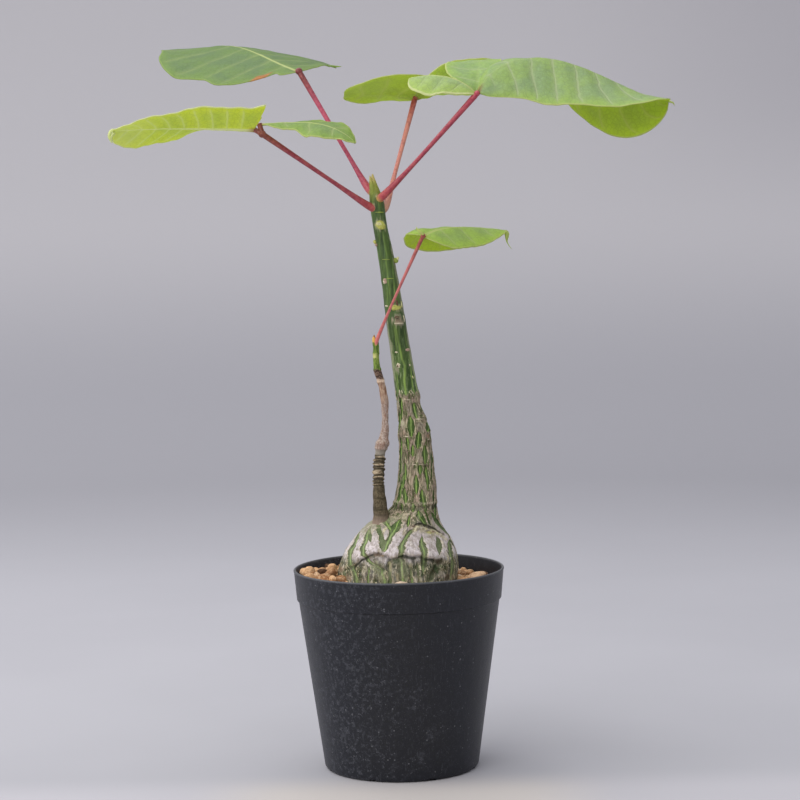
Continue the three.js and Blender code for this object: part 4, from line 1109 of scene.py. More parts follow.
# All of them together, with shade, marks and relief
green_from = bark.plus(level, bark.times(bark.noise(around, 0.2, 3), 9))
colour = bark.mix(bark.step(green_from, 190, 193), cracked, young)
colour = bark.wash(colour, (40, 42, 26), bark.attribute("shaded"), 0.1, 1.3, 0.92)
mark_cover = bark.attribute("marked", output="Alpha")
mark_colour = bark.attribute("marked", output="Color")
flecked = bark.step(fleck, 0.4, 0.65, 0, 0.4)
mark_colour = bark.mix(flecked, mark_colour, srgb(156, 134, 108), blend="MULTIPLY")
mark_colour = bark.mix(bark.times(furrow, bark.step(level, 196, 186, 0, 0.5)), mark_colour, srgb(96, 84, 62))
colour = bark.mix(bark.times(mark_cover, 0.9), colour, mark_colour)
barkiness = bark.step(green_from, 194, 188, 0.15, 1)
relief = bark.times(bark.plus(fleck, bark.plus(fibre, thread)), barkiness)
relief = bark.minus(relief, bark.times(furrow, bark.times(barkiness, 0.6)))
bark_finish = bark.surface(
    colour,
    bark.step(barkiness, 0.15, 1, 0.48, 0.85),
    bark.bump(relief, 0.45, 0.85),
    Specular_IOR_Level=0.3,
)

trunk = object_from(trunk_shape, "caudex_and_trunk_skin", [bark_finish])
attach(trunk, "root")
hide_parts("caudex_and_trunk")

# Side shoot
# A thin woody shoot from the caudex's left shoulder: an old ringed foot, a knob, a corky length and a green
# tip. Each ring is the scar of a fallen leaf, and they crowd where the shoot grew slowly.
SHOOT = [
    (-8, -7.4, 117.5, 6.4),
    (-8.2, -7.8, 122, 4.8),
    (-8.3, -8, 127, 3.9),
    (-8.8, -8, 134, 3.3),
    (-9.2, -8, 142, 2.8),
    (-9.1, -8.1, 148, 2.9),
    (-8.7, -8.2, 154, 2.9),
    (-8, -8.4, 158.5, 2.6),
    (-7.5, -8.5, 161.5, 3),
    (-6.2, -8.7, 165.5, 2.1),
    (-5.4, -9, 173, 1.7),
    (-5.6, -9.5, 184.5, 1.7),
    (-6.9, -10, 192.5, 1.8),
    (-8.6, -10.6, 198.5, 1.75),
    (-9.3, -11, 204.5, 1.5),
    (-9.2, -11.6, 210, 1.5),
    (-9.2, -12, 214.4, 1.2),
]
RING_FOOT, RING_TOP, RING_PITCH = 143, 157.5, 2.1
RING_RISE, BETWEEN_RINGS = 0.8, 0.55
# Low collars round the shoot: height, rise, half height, and how far they are tilted
COLLARS = [(193.8, 0.3, 0.7, 0.5), (199.6, 0.25, 0.6, 0), (160.4, 0.3, 0.6, 0), (207.6, 0.2, 0.7, 0)]
KNOB_HEIGHT, KNOB_RISE, KNOB_HALF_HEIGHT, KNOB_TILT = 163.2, 0.75, 1.3, 0.6
SHOOT_SIDES, SHOOT_STEPS = 56, 420
END_BUD = [
    (-9.6, -12, 209.5, 0.9),
    (-10, -12.3, 213, 1),
    (-10.2, -12.4, 215, 0.8),
    (-10, -12.4, 216.8, 0.15),
]


def ringed_part(height):
    """1 along the ringed foot of the shoot, and 0 elsewhere."""
    return within(height, RING_FOOT - 3, RING_FOOT + 1, RING_TOP - 1, RING_TOP + 1)


def ring_ridge(angle, height):
    """How far a point lies on the raised edge of a leaf scar: the scars sit left and right by turns."""
    sides = 0.25 * np.tanh(3 * np.sin(angle + 0.5))
    turn = (height - RING_FOOT) / RING_PITCH
    turn = turn - 0.26 * np.sin(angle) * np.sin(math.pi * turn)
    turn += sides + 0.1 * np.sin(2 * angle + 1) + 0.22 * np.sin(height * 0.7)
    strength = 0.78 + 0.22 * np.sin(angle + 2.4 * np.floor(turn))
    return ringed_part(height) * strength * np.abs(np.sin(math.pi * turn)) ** 1.6


def shoot_relief(angle, height):
    """Sharp leaf-scar edges, low lumps of bark, and the collars of old leaves and of the knob."""
    ringed = RING_RISE * (ring_ridge(angle, height) - BETWEEN_RINGS * ringed_part(height))
    lumps = 0.18 * np.sin(2 * angle + height * 0.35) * within(height, 150, 160, 196, 202)
    lumps += 0.12 * np.sin(5 * angle + height * 0.9) * (1 - ease(196, 204, height))
    above_knob = height - KNOB_HEIGHT - KNOB_TILT * np.sin(angle + 2)
    knob = KNOB_RISE * hill(above_knob, KNOB_HALF_HEIGHT) * (0.75 + 0.4 * np.sin(angle + 2.6))
    collars = 0
    for place, rise, half, tilt in COLLARS:
        collars = collars + rise * hill(height - place - tilt * np.sin(angle), half)
    return ringed + lumps + knob + collars


shoot_shape = bmesh.new()
ridge = shoot_shape.verts.layers.float.new("ridge")
new_tube(shoot_shape, END_BUD)
made = new_tube(shoot_shape, SHOOT, SHOOT_SIDES, SHOOT_STEPS, shoot_relief)
round_turn = (np.arange(len(made)) % (SHOOT_SIDES + 1) / SHOOT_SIDES - 0.5) * 2 * math.pi
for vertex, raised in zip(made, ring_ridge(round_turn, np.array([vertex.co.z for vertex in made]))):
    vertex[ridge] = raised
close_up(shoot_shape, WELD)

# Dark old bark and pale scar edges at the foot, then cork, tan bark and green skin
twig = Finish("shoot_bark")
around = twig.place()
level = twig.plus(twig.height(), twig.times(twig.noise(around, 0.45, 2), 2.4))
fleck = twig.noise(around, 1.3, 5, 0.65)
fibre = twig.noise(twig.place((1, 1, 0.15)), 1.5, 4, 0.6)
old = twig.blend(fleck, 0.35, 0.65, (66, 58, 40), (106, 94, 72))
old = twig.wash(old, (130, 118, 92), fibre, 0.55, 0.68, 0.5)
bands = twig.noise(twig.place((0.15, 0.15, 1)), 0.8, 3, 0.5)
old = twig.wash(old, (50, 44, 28), bands, 0.5, 0.6, 0.6)
old = twig.mix(twig.step(level, 131, 124), old, twig.mix(fibre, srgb(112, 94, 78), srgb(166, 146, 130)))
old = twig.mix(twig.step(level, 123, 119), old, twig.mix(fleck, srgb(70, 84, 50), srgb(176, 160, 136)))
scar_edge = twig.blend(fleck, 0.35, 0.6, (130, 108, 82), (196, 178, 150))
ring_colour = twig.mix(twig.step(twig.attribute("ridge"), 0.5, 0.85), old, scar_edge)
ring_colour = twig.wash(ring_colour, (54, 44, 32), twig.attribute("ridge"), 0.35, 0.05, 0.6)
rings_here = twig.times(twig.step(level, 142, 144.5), twig.step(level, 159.5, 157.5))
old = twig.mix(twig.times(rings_here, 0.9), old, ring_colour)
corky = twig.blend(fleck, 0.35, 0.62, (134, 112, 98), (184, 166, 154))
corky = twig.wash(corky, (124, 88, 66), fibre, 0.52, 0.66, 0.7)
corky = twig.mix(twig.step(twig.noise(around, 0.25, 3), 0.5, 0.64, 0, 0.4), corky, srgb(150, 116, 96))
grey = twig.mix(fleck, srgb(124, 116, 102), srgb(158, 150, 138))
knob = twig.mix(twig.step(level, 160.5, 162), grey, corky)
wood = twig.mix(twig.step(level, 158, 159.4), old, knob)
tan = twig.blend(fibre, 0.35, 0.65, (128, 92, 70), (182, 156, 132))
wood = twig.mix(twig.step(level, 182, 190), wood, tan)
collar = twig.times(twig.step(level, 194.2, 194.8), twig.step(level, 196.4, 195.8))
wood = twig.mix(twig.times(collar, twig.step(fleck, 0.3, 0.6, 0.4, 1)), wood, srgb(206, 182, 158))
dark_band = twig.blend(fleck, 0.4, 0.6, (56, 38, 32), (128, 104, 88))
wood = twig.mix(twig.step(level, 195.8, 196.6), wood, dark_band)
green = twig.blend(fibre, 0.4, 0.62, (72, 98, 34), (126, 146, 62))
wood = twig.mix(twig.step(level, 200, 201.4), wood, green)
leftward = twig.step(twig.distance_along("X"), -8.7, -9.7, 0.1, 0.85)
scar = twig.times(twig.step(level, 206, 206.8), twig.step(level, 209.4, 208.4))
wood = twig.mix(twig.times(scar, leftward), wood, srgb(208, 206, 130))
wood = twig.wash(wood, (218, 176, 92), level, 214.2, 215)
wood = twig.wash(wood, (120, 66, 40), level, 216.4, 217.2, 0.8)
relief = twig.plus(fleck, fibre)
shoot_finish = twig.surface(wood, 0.78, twig.bump(relief, 0.3, 0.7), Specular_IOR_Level=0.3)

shoot = object_from(shoot_shape, "side_shoot_bark", [shoot_finish])
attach(shoot, "root")
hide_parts("side_shoot")

# Leaf stalks
# Smooth, fleshy red stalks, one to a leaf. Each swells at its foot, where it leaves the trunk, and again at
# its tip, in the brownish joint that the leaflets spring from.

# path: from the trunk's middle to the joint. branches: places of a forked leaf's leaflets. colours: of the
# foot, the middle and the tip. joint: radius of the joint.
STALKS = {
    "upper_left": {
        "path": [(-8.6, 0.3, 286), (-12.5, 2, 289.5), (-22, 5, 306), (-45.2, 10, 347)],
        "colours": (srgb(198, 92, 104), srgb(186, 76, 102), srgb(112, 46, 44)),
        "joint": 1.9,
    },
    "lower_left": {
        "path": [(-7.6, -0.4, 278.6), (-12, -2.4, 280), (-30, -7, 292.5), (-62.6, -14.5, 315.3)],
        "branches": [(-66.6, -14.2, 317.6), (-64, -14, 320.6)],
        "colours": (srgb(160, 62, 66), srgb(146, 54, 68), srgb(128, 66, 50)),
        "joint": 2,
    },
    "right": {
        "path": [(-7.6, -0.6, 282.5), (-3, -4, 286), (12, -10, 301), (41.7, -22, 332.6)],
        "colours": (srgb(180, 72, 80), srgb(158, 54, 74), srgb(172, 62, 80)),
        "joint": 1.5,
    },
    "back": {
        "path": [(-7.4, 0.6, 278.5), (-3.4, 4, 279.5), (2, 17, 298), (12.3, 40, 334.6)],
        "colours": (srgb(216, 158, 142), srgb(212, 136, 124), srgb(172, 76, 76)),
        "joint": 1.5,
    },
    "shoot": {
        "path": [(-9.2, -11.9, 211.5), (-8.4, -13.2, 215), (0, -18.4, 234), (14.5, -25, 264.6)],
        "colours": (srgb(206, 112, 108), srgb(188, 102, 100), srgb(142, 66, 50)),
        "joint": 1.3,
    },
}
STALK_RADII = (2.4, 1.85, 1.05, 1.45)
SHOOT_STALK_RADII = (1.2, 0.95, 0.66, 0.95)
STALK_SIDES, STALK_STEPS = 28, 120


def stalk_finish(name, foot, middle, tip):
    """Glossy red skin that changes colour along the stalk, with fine streaks and pale breathing pores."""
    skin = Finish(name)
    around = skin.place()
    along = skin.attribute("along")
    streak = skin.noise(around, 0.6, 3, 0.5)
    rooted = skin.mix(skin.step(along, 0.16, 0.27), srgb(190, 152, 84), foot)
    colour = skin.mix(skin.step(along, 0.28, 0.52), rooted, middle)
    colour = skin.mix(skin.step(along, 0.82, 0.97), colour, tip)
    sunlit = skin.mix(0.4, middle, srgb(230, 150, 120))
    colour = skin.mix(skin.step(streak, 0.4, 0.7, 0, 0.35), colour, sunlit)
    colour = skin.wash(colour, (96, 30, 40), streak, 0.5, 0.3, 0.3)
    pores = skin.step(skin.cells(around, 1.1), 0.16, 0.05, 0, 0.3)
    colour = skin.mix(pores, colour, srgb(228, 176, 150))
    normal = skin.bump(skin.noise(around, 1.4, 3, 0.5), 0.12, 0.5)
    return skin.surface(colour, 0.38, normal, Specular_IOR_Level=0.45)


for name, stalk in STALKS.items():
    radii = SHOOT_STALK_RADII if name == "shoot" else STALK_RADII
    rows = [(*point, radius) for point, radius in zip(stalk["path"], radii)]
    joint = stalk["joint"]
    stalk_shape = bmesh.new()
    share = stalk_shape.verts.layers.float.new("along")
    made = new_tube(stalk_shape, rows, STALK_SIDES, STALK_STEPS)
    for number, vertex in enumerate(made):
        vertex[share] = number // (STALK_SIDES + 1) / STALK_STEPS
    tip = stalk["path"][-1]
    knuckle = bmesh.ops.create_icosphere(stalk_shape, subdivisions=4, radius=joint * 0.95)["verts"]
    bmesh.ops.translate(stalk_shape, vec=tip, verts=knuckle)
    for branch in stalk.get("branches", []):
        halfway = (Vector(tip) + Vector(branch)) / 2
        branch_rows = [(*tip, joint * 0.8), (*halfway, joint * 0.62), (*branch, joint * 0.66)]
        knuckle += new_tube(stalk_shape, branch_rows)
    for vertex in knuckle:
        vertex[share] = 1
    close_up(stalk_shape, WELD)
    finish = stalk_finish(f"stalk_{name}", *stalk["colours"])
    piece = object_from(stalk_shape, f"{name}_stalk", [finish])
    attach(piece, "root")
    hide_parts(f"leaf_{name}_stalk")

# Leaflets
# Thin, soft blades that droop either side of a pale midrib. Side veins run out to a pale margin, and the
# blade swells a little between them. Tops are dull green, undersides are yellow-green, and light shines
# through both.

# heading: direction in plan, 0 to the right and 90 away from the front. bend: change of heading to the tip.
# rise: slope of the midrib at base, middle and tip. half: half widths left and right of the midrib.
# broadest: share of the length where it is widest. blunt: below 1 the ends are blunter, above 1 sharper.
# droop: how far each half hangs at base, middle and tip. curl: further bend from midrib to margin.
# blunt and curl, like half, are given for the left half and the right one.
# sweep: lean towards the tip of the lines from midrib to margin, at base, middle and tip.
# wave: height, count and phase of the margin's ripple.
# notches: where the margin is eaten, or bulges if depth is negative: side, share, reach along it, depth.
# top, under: colours of the upper and the lower skin. rib: share of the length from which the midrib is
# pale. rib_colour: its colour. burnt: share of the length where a dry brown place lies, and its reach.
# margin, margin_share, margin_width: the pale margin's colour, strength and width. crinkle: height of its
# fine ripple. lean: how far a side vein runs towards the tip. vein_count: side veins on each half.
# bends: where the margin turns up: side, share, reach along it, height. tails: thin dry threads, each from a
# share of the length and of the width, then along offsets with radii. veins: how strongly side veins show.
# joined: shares of the length below which the left margin, which lies on another leaflet, isn't paler.
# vein_colour, tip_colour: for a leaflet whose veins or tip are paler than the rule below gives.
LEAFLETS = {
    "upper_left_blade": {
        "base": (-45.2, 10, 347),
        "heading": 124,
        "bend": 6,
        "length": 105,
        "rise": (13, 13.5, -26),
        "half": (45, 42),
        "broadest": 0.53,
        "blunt": (0.75, 0.82),
        "droop": {1: (11.5, 17, -11), -1: (-13, 1, 11)},
        "curl": (9.5, 11.5),
        "sweep": (-12.5, -9, 28),
        "wave": (0.9, 2.5, 0.4),
        "notches": [
            (1, 0.11, 0.13, 0.2),
            (-1, 0.48, 0.1, -0.23),
            (1, 0.43, 0.09, 0.15),
            (1, 0.105, 0.034, 0.4),
            (1, 0.8, 0.06, 0.1),
        ],
        "top": (121, 149, 103),
        "under": (124, 154, 84),
        "rib": 0,
        "burnt": (0.156, 0.03),
        "bends": [(1, 0.87, 0.11, 3.2)],
        "tails": [
            (0.41, -0.98, [(-2, 0, 0.8, 0.4), (0.6, 0, 0.4, 0.45), (2.6, 0, 0.2, 0.35), (4.6, 0, 0.2, 0.1)]),
        ],
        "margin": (186, 204, 126),
        "margin_share": 0.5,
        "veins": (0.16, 0.3),
    },
    "lower_left_leaflet_left": {
        "base": (-66.6, -14.2, 317.6),
        "heading": 201,
        "bend": -5,
        "length": 69,
        "rise": (2, 0, -5),
        "half": (18, 19.5),
        "broadest": 0.43,
        "blunt": (0.25, 0.37),
        "droop": {1: (-43, -30, -5), -1: (-38, 14, 38.5)},
        "curl": (9, 4),
        "sweep": (-18.5, 10.5, 17),
        "wave": (0.6, 3, 0),
        "notches": [(1, 0.05, 0.04, -0.32), (1, 0.02, 0.012, 0.3), (1, 0.043, 0.014, -0.12)],
        "top": (190, 210, 100),
        "under": (226, 238, 112),
        "rib": 0,
        "rib_colour": (252, 252, 214),
        "margin": (246, 246, 202),
        "veins": (0.42, 0.12),
        "vein_count": 10,
        "vein_colour": (248, 252, 200),
        "tip_colour": (236, 240, 172),
        "tails": [
            (1, 0, [
                (0.6, 0, 0.4, 0.7), (-1.2, 0, -0.2, 0.8), (-2.2, 0, -2.6, 0.7),
                (-1.4, 0, -5, 0.4), (-0.8, 0, -6, 0.1),
            ]),
            (1, 0, [(0.8, 0, -1, 0.6), (-0.8, 0, -2.4, 0.7), (-1, 0, -4, 0.4), (0.2, 0, -5, 0.1)]),
        ],
    },
    "lower_left_leaflet_right": {
        "base": (-64, -14, 320.6),
        "heading": -15,
        "bend": -10,
        "length": 52.5,
        "rise": (0, -8, -47),
        "half": (12.8, 12.5),
        "broadest": 0.55,
        "blunt": (0.89, 0.94),
        "droop": {1: (30, -9, -8), -1: (22, 27, 5.5)},
        "curl": (3, 17),
        "sweep": (31, 6, 11),
        "wave": (0.7, 3, 0),
        "notches": [(-1, 0.39, 0.1, 0.34), (-1, 0.95, 0.05, -0.42)],
        "top": (141, 169, 109),
        "under": (160, 184, 84),
        "rib": 0,
    },
    "right_leaflet_outer": {
        "base": (41.7, -22, 332.6),
        "heading": 11,
        "bend": -23,
        "length": 103.5,
        "rise": (66, -18, -12),
        "half": (36.7, 30.5),
        "broadest": 0.51,
        "blunt": (0.65, 0.44),
        "droop": {1: (-30, 16, 84), -1: (51, 37.5, -17)},
        "curl": (16.5, 15.5),
        "sweep": (-2.5, 9, 19.5),
        "wave": (0.7, 2.5, 0.5),
        "notches": [(1, 0, 0.15, 0.86)],
        "top": (160, 184, 140),
        "under": (190, 212, 80),
        "rib": 1,
        "lean": (-0.06, 0.15),
        "vein_count": 9.5,
        "veins": (0.62, 0.3),
        "joined": (0.12, 0.3),
        "tails": [(1, 0, [(-1.5, 0, 0.3, 0.5), (0.8, 0, 0, 0.5), (2.4, 0, -0.7, 0.35), (2.9, 0, -2, 0.1)])],
    },
    "right_leaflet_inner": {
        "base": (41.7, -22, 332.6),
        "heading": 163,
        "bend": -4,
        "length": 37,
        "rise": (49, 11, -11),
        "half": (12.5, 12.6),
        "broadest": 0.59,
        "blunt": (0.55, 0.58),
        "droop": {1: (40, 46, 40), -1: (1, 11, 0)},
        "curl": (17, 17),
        "sweep": (-7.5, 8.5, 23),
        "wave": (0.6, 2.5, 0.3),
        "margin": (240, 242, 190),
        "margin_width": 1.7,
        "veins": (0.1, 0.12),
        "top": (178, 200, 150),
        "under": (172, 194, 96),
        "rib": 0,
    },
    "right_leaflet_back": {
        "base": (41.7, -22, 332.6),
        "heading": 87,
        "bend": -9,
        "length": 58,
        "rise": (34.5, 23, -32),
        "half": (16.7, 11.2),
        "broadest": 0.48,
        "blunt": (0.8, 0.64),
        "droop": {1: (-14.5, 0, 8), -1: (1, -2, 15)},
        "curl": (-5, 0),
        "sweep": (4, -4.5, 20),
        "wave": (0.6, 2.5, 0),
        "top": (162, 190, 134),
        "under": (180, 204, 96),
        "rib": 1,
    },
    "back_leaflet_left": {
        "base": (12.3, 40, 334.6),
        "heading": 187,
        "bend": 10,
        "length": 37,
        "rise": (14, 0.5, -8.5),
        "half": (24, 10.3),
        "broadest": 0.48,
        "blunt": (0.5, 0.62),
        "droop": {1: (-70, -22, -24), -1: (0, 14, 18.5)},
        "curl": (3, 12.5),
        "sweep": (-82, -12.5, 19),
        "wave": (0.6, 2, 0),
        "top": (158, 186, 84),
        "under": (196, 214, 98),
        "rib": 1,
        "crinkle": 0.05,
    },
    "back_leaflet_right": {
        "base": (12.3, 40, 334.6),
        "heading": 26,
        "bend": -3,
        "length": 57,
        "rise": (14, 10, -11),
        "half": (20, 18.5),
        "broadest": 0.49,
        "blunt": (0.75, 0.75),
        "droop": {1: (-2, 15, 17), -1: (-56, -44, -27)},
        "curl": (-8, -8),
        "sweep": (-15, 3, 20),
        "wave": (0.8, 2, 0.4),
        "top": (158, 186, 96),
        "under": (194, 214, 116),
        "rib": 0,
    },
    "shoot_blade": {
        "base": (14.5, -25, 264.6),
        "heading": 55,
        "bend": -31,
        "length": 54,
        "rise": (19, 0.3, -7.5),
        "half": (23.6, 15.4),
        "broadest": 0.44,
        "blunt": (0.58, 0.66),
        "droop": {1: (-43, 0, -13), -1: (22, 32, 9)},
        "curl": (66, 23),
        "sweep": (-7.5, -4, 24.5),
        "wave": (0.4, 2, 0),
        "notches": [(1, 0.27, 0.07, -0.1), (1, 0.1, 0.05, 0.06)],
        "top": (176, 202, 130),
        "under": (202, 220, 92),
        "rib": 0,
        "tails": [
            (1, 0, [
                (-1.5, 0, -0.2, 0.5), (1.2, 0, -1.2, 1.2), (1.5, 0, -3.2, 0.95),
                (1.6, 0, -6, 0.3), (4, 0, -9.8, 0.08),
            ]),
            (0, 0, [
                (0.4, -1.5, 0.4, 0.5), (-1.4, -1.6, 2, 0.6), (-2.8, -1.5, 3.4, 0.4), (-3.2, -1.5, 4.4, 0.12),
            ]),
        ],
    },
}
MIDRIB_PIECES = 60
WIDTH_PIECES = 6
MESH_SPACING = 0.8
TAIL_SIDES, TAIL_STEPS = 8, 16
# Share of the length, and distances from the midrib and the margin, that colour a dry thread
TAIL_LAYERS = (0.5, 3, 0.5)
TIP_HALF_WIDTH = 0.5
BLADE_THICKNESS = 0.36
VEIN_SPACING = 12.5
# Run of a side vein towards the tip, as a share of the length: at the base, and how much more at the tip
VEIN_LEAN = (0.03, 0)
CRINKLE = 0.14
VEIN_SWELL, VEIN_RISE = 0.3, 0.12
GUTTER_DEPTH, GUTTER_HALF_WIDTH = 0.35, 1.6
QUILTING = 0.16
RIB_RISE, RIB_HALF_WIDTH = 0.85, 0.95
VEIN_SHARES = (0.5, 0.22)  # how strongly the side veins and the soft bands along them show
RIB_COLOUR = (218, 226, 156)
MARGIN_COLOUR = (218, 224, 150)


def through(three, share):
    """Value at a share from 0 to 1 through a start, a middle and an end value, as a parabola."""
    start, middle, end = three
    bow = 2 * (start + end - 2 * middle)
    return start + share * (end - start) + share * (share - 1) * bow


def blade_directions(leaflet, share):
    """Unit vectors along the midrib, to its left and up out of the blade, at shares of the length."""
    heading = np.radians(leaflet["heading"] + leaflet["bend"] * share)
    rise = np.radians(through(leaflet["rise"], share))
    along = np.stack([np.cos(rise) * np.cos(heading), np.cos(rise) * np.sin(heading), np.sin(rise)], axis=-1)
    left = np.stack([-np.sin(heading), np.cos(heading), np.zeros_like(heading)], axis=-1)
    return along, left, np.cross(along, left)


def half_width(leaflet, share, side):
    """Half width of the blade on one side, left 1 or right -1, with what insects have eaten taken off."""
    half = 0 if side > 0 else 1
    skew = math.log(0.5) / math.log(leaflet["broadest"])
    outline = np.clip(np.sin(math.pi * share**skew), 0, 1) ** leaflet["blunt"][half]
    for eaten_side, where, reach, depth in leaflet.get("notches", []):
        if eaten_side == side:
            outline = outline * (1 - depth * hill(share - where, reach))
    return TIP_HALF_WIDTH + (leaflet["half"][half] - TIP_HALF_WIDTH) * outline


def blade_points(leaflet, share, wide):
    """Points of the blade's middle surface, at shares of the length and of the width from -1 to 1."""
    stations = np.linspace(0, 1, MIDRIB_PIECES + 1)
    steps = blade_directions(leaflet, stations[:-1])[0] * leaflet["length"] / MIDRIB_PIECES
    course = np.vstack([np.zeros(3), np.cumsum(steps, axis=0)]) + leaflet["base"]
    place = np.stack([np.interp(share, stations, course[:, axis]) for axis in range(3)], axis=-1)
    along, left, up = blade_directions(leaflet, share)
    lean = np.radians(through(leaflet["sweep"], share))
    height, waves, phase = leaflet["wave"]
    for side, curl in zip((1, -1), leaflet["curl"]):
        here = np.where(wide * side > 0, np.abs(wide), 0)
        stride = half_width(leaflet, share, side) * here / WIDTH_PIECES
        for piece in range(WIDTH_PIECES):
            curled = curl * here * (piece + 0.5) / WIDTH_PIECES
            hang = np.radians(through(leaflet["droop"][side], share) + curled)
            place = place + left * (side * np.cos(hang) * np.cos(lean) * stride)[..., None]
            place = place - up * (np.sin(hang) * np.cos(lean) * stride)[..., None]
            place = place + along * (np.sin(lean) * stride)[..., None]
        turn = (waves * share + phase + (0 if side > 0 else 0.37)) * 2 * math.pi
        ripple = height * here**2 * np.sin(turn) * np.sin(math.pi * share)
        for bent_side, where, reach, lift in leaflet.get("bends", []):
            if bent_side == side:
                turned_up = lift * here**2 * hill(share - where, reach)
                ripple = ripple + turned_up * np.sin(math.pi * share) ** 0.3
        place = place + up * ripple[..., None]
    return place


def vein_count(leaflet):
    return leaflet.get("vein_count", max(4, round(leaflet["length"] / VEIN_SPACING)))


def add_blade(shape, leaflet):
    """Adds one leaflet as an upper and a lower skin joined round the margin."""
    names = ("lengthwise", "from_midrib", "from_margin")
    layers = {name: shape.verts.layers.float.new(name) for name in names}
    long_steps = round(leaflet["length"] / MESH_SPACING)
    wide_steps = 2 * round(sum(leaflet["half"]) / 2 / MESH_SPACING)
    for side in (1, -1):
        grid = bmesh.ops.create_grid(shape, x_segments=long_steps, y_segments=wide_steps, size=0.5)["verts"]
        flat = np.array([vertex.co for vertex in grid]).reshape(wide_steps + 1, long_steps + 1, 3)
        share, wide = flat[..., 0] + 0.5, flat[..., 1] * 2
        middle = blade_points(leaflet, share, wide)
        forward = np.gradient(middle, axis=1)
        sideways = np.gradient(middle, axis=0)
        normal = np.cross(forward, sideways)
        normal /= np.linalg.norm(normal, axis=-1)[..., None]
        half = np.where(wide > 0, half_width(leaflet, share, 1), half_width(leaflet, share, -1))
        aside = np.abs(wide) * half
        inset = (1 - np.abs(wide)) * half
        lean_base, lean_rise = leaflet.get("lean", VEIN_LEAN)
        lean = (lean_base + lean_rise * share) * (np.abs(wide) + wide * wide)
        vein = np.cos(2 * math.pi * vein_count(leaflet) * (share - lean))
        swell = -VEIN_SWELL * vein * ease(0.5, 7, inset) * ease(0.5, 4, aside)
        swell = swell * ease(0, 0.1, share) * ease(1, 0.9, share)
        gutter = -GUTTER_DEPTH * hill(aside, GUTTER_HALF_WIDTH) * (1 - share)
        quilt = QUILTING * noise_at(middle.reshape(-1, 3), 0.22, leaflet["length"]).reshape(share.shape)
        crinkle = leaflet.get("crinkle", CRINKLE) * np.sin(share * 61 + 3 * wide) * ease(3.5, 0, inset)
        rib = RIB_RISE * (1 - 0.85 * share) * hill(aside, RIB_HALF_WIDTH) + VEIN_RISE * hill(1 - vein, 0.4)
        rib = rib if side < 0 else 0  # veins stand out on the lower skin alone
        lift = swell + gutter + quilt + crinkle + side * (BLADE_THICKNESS / 2 + rib)
        points = middle + normal * lift[..., None]
        move_to(grid, points.reshape(-1, 3))
        signed = aside * np.sign(wide)
        for vertex, *values in zip(grid, share.ravel(), signed.ravel(), inset.ravel()):
            for layer, value in zip(layers.values(), values):
                vertex[layer] = value
        skin_faces = {face for vertex in grid for face in vertex.link_faces}
        if side < 0:
            bmesh.ops.reverse_faces(shape, faces=list(skin_faces))
            for face in skin_faces:
                face.material_index = 1
    margin = [edge for edge in shape.edges if edge.is_boundary]
    bmesh.ops.bridge_loops(shape, edges=margin)
    for share, wide, offsets in leaflet.get("tails", []):
        root = blade_points(leaflet, np.array([share]), np.array([wide]))[0]
        path = [(*(root + offset[:3]), offset[3]) for offset in offsets]
        thread = new_tube(shape, path, TAIL_SIDES, TAIL_STEPS)
        thread_faces = {face for vertex in thread for face in vertex.link_faces}
        for vertex in thread:
            for layer, value in zip(layers.values(), TAIL_LAYERS):
                vertex[layer] = value
        bmesh.ops.remove_doubles(shape, verts=thread, dist=WELD)
        bmesh.ops.recalc_face_normals(shape, faces=[face for face in thread_faces if face.is_valid])


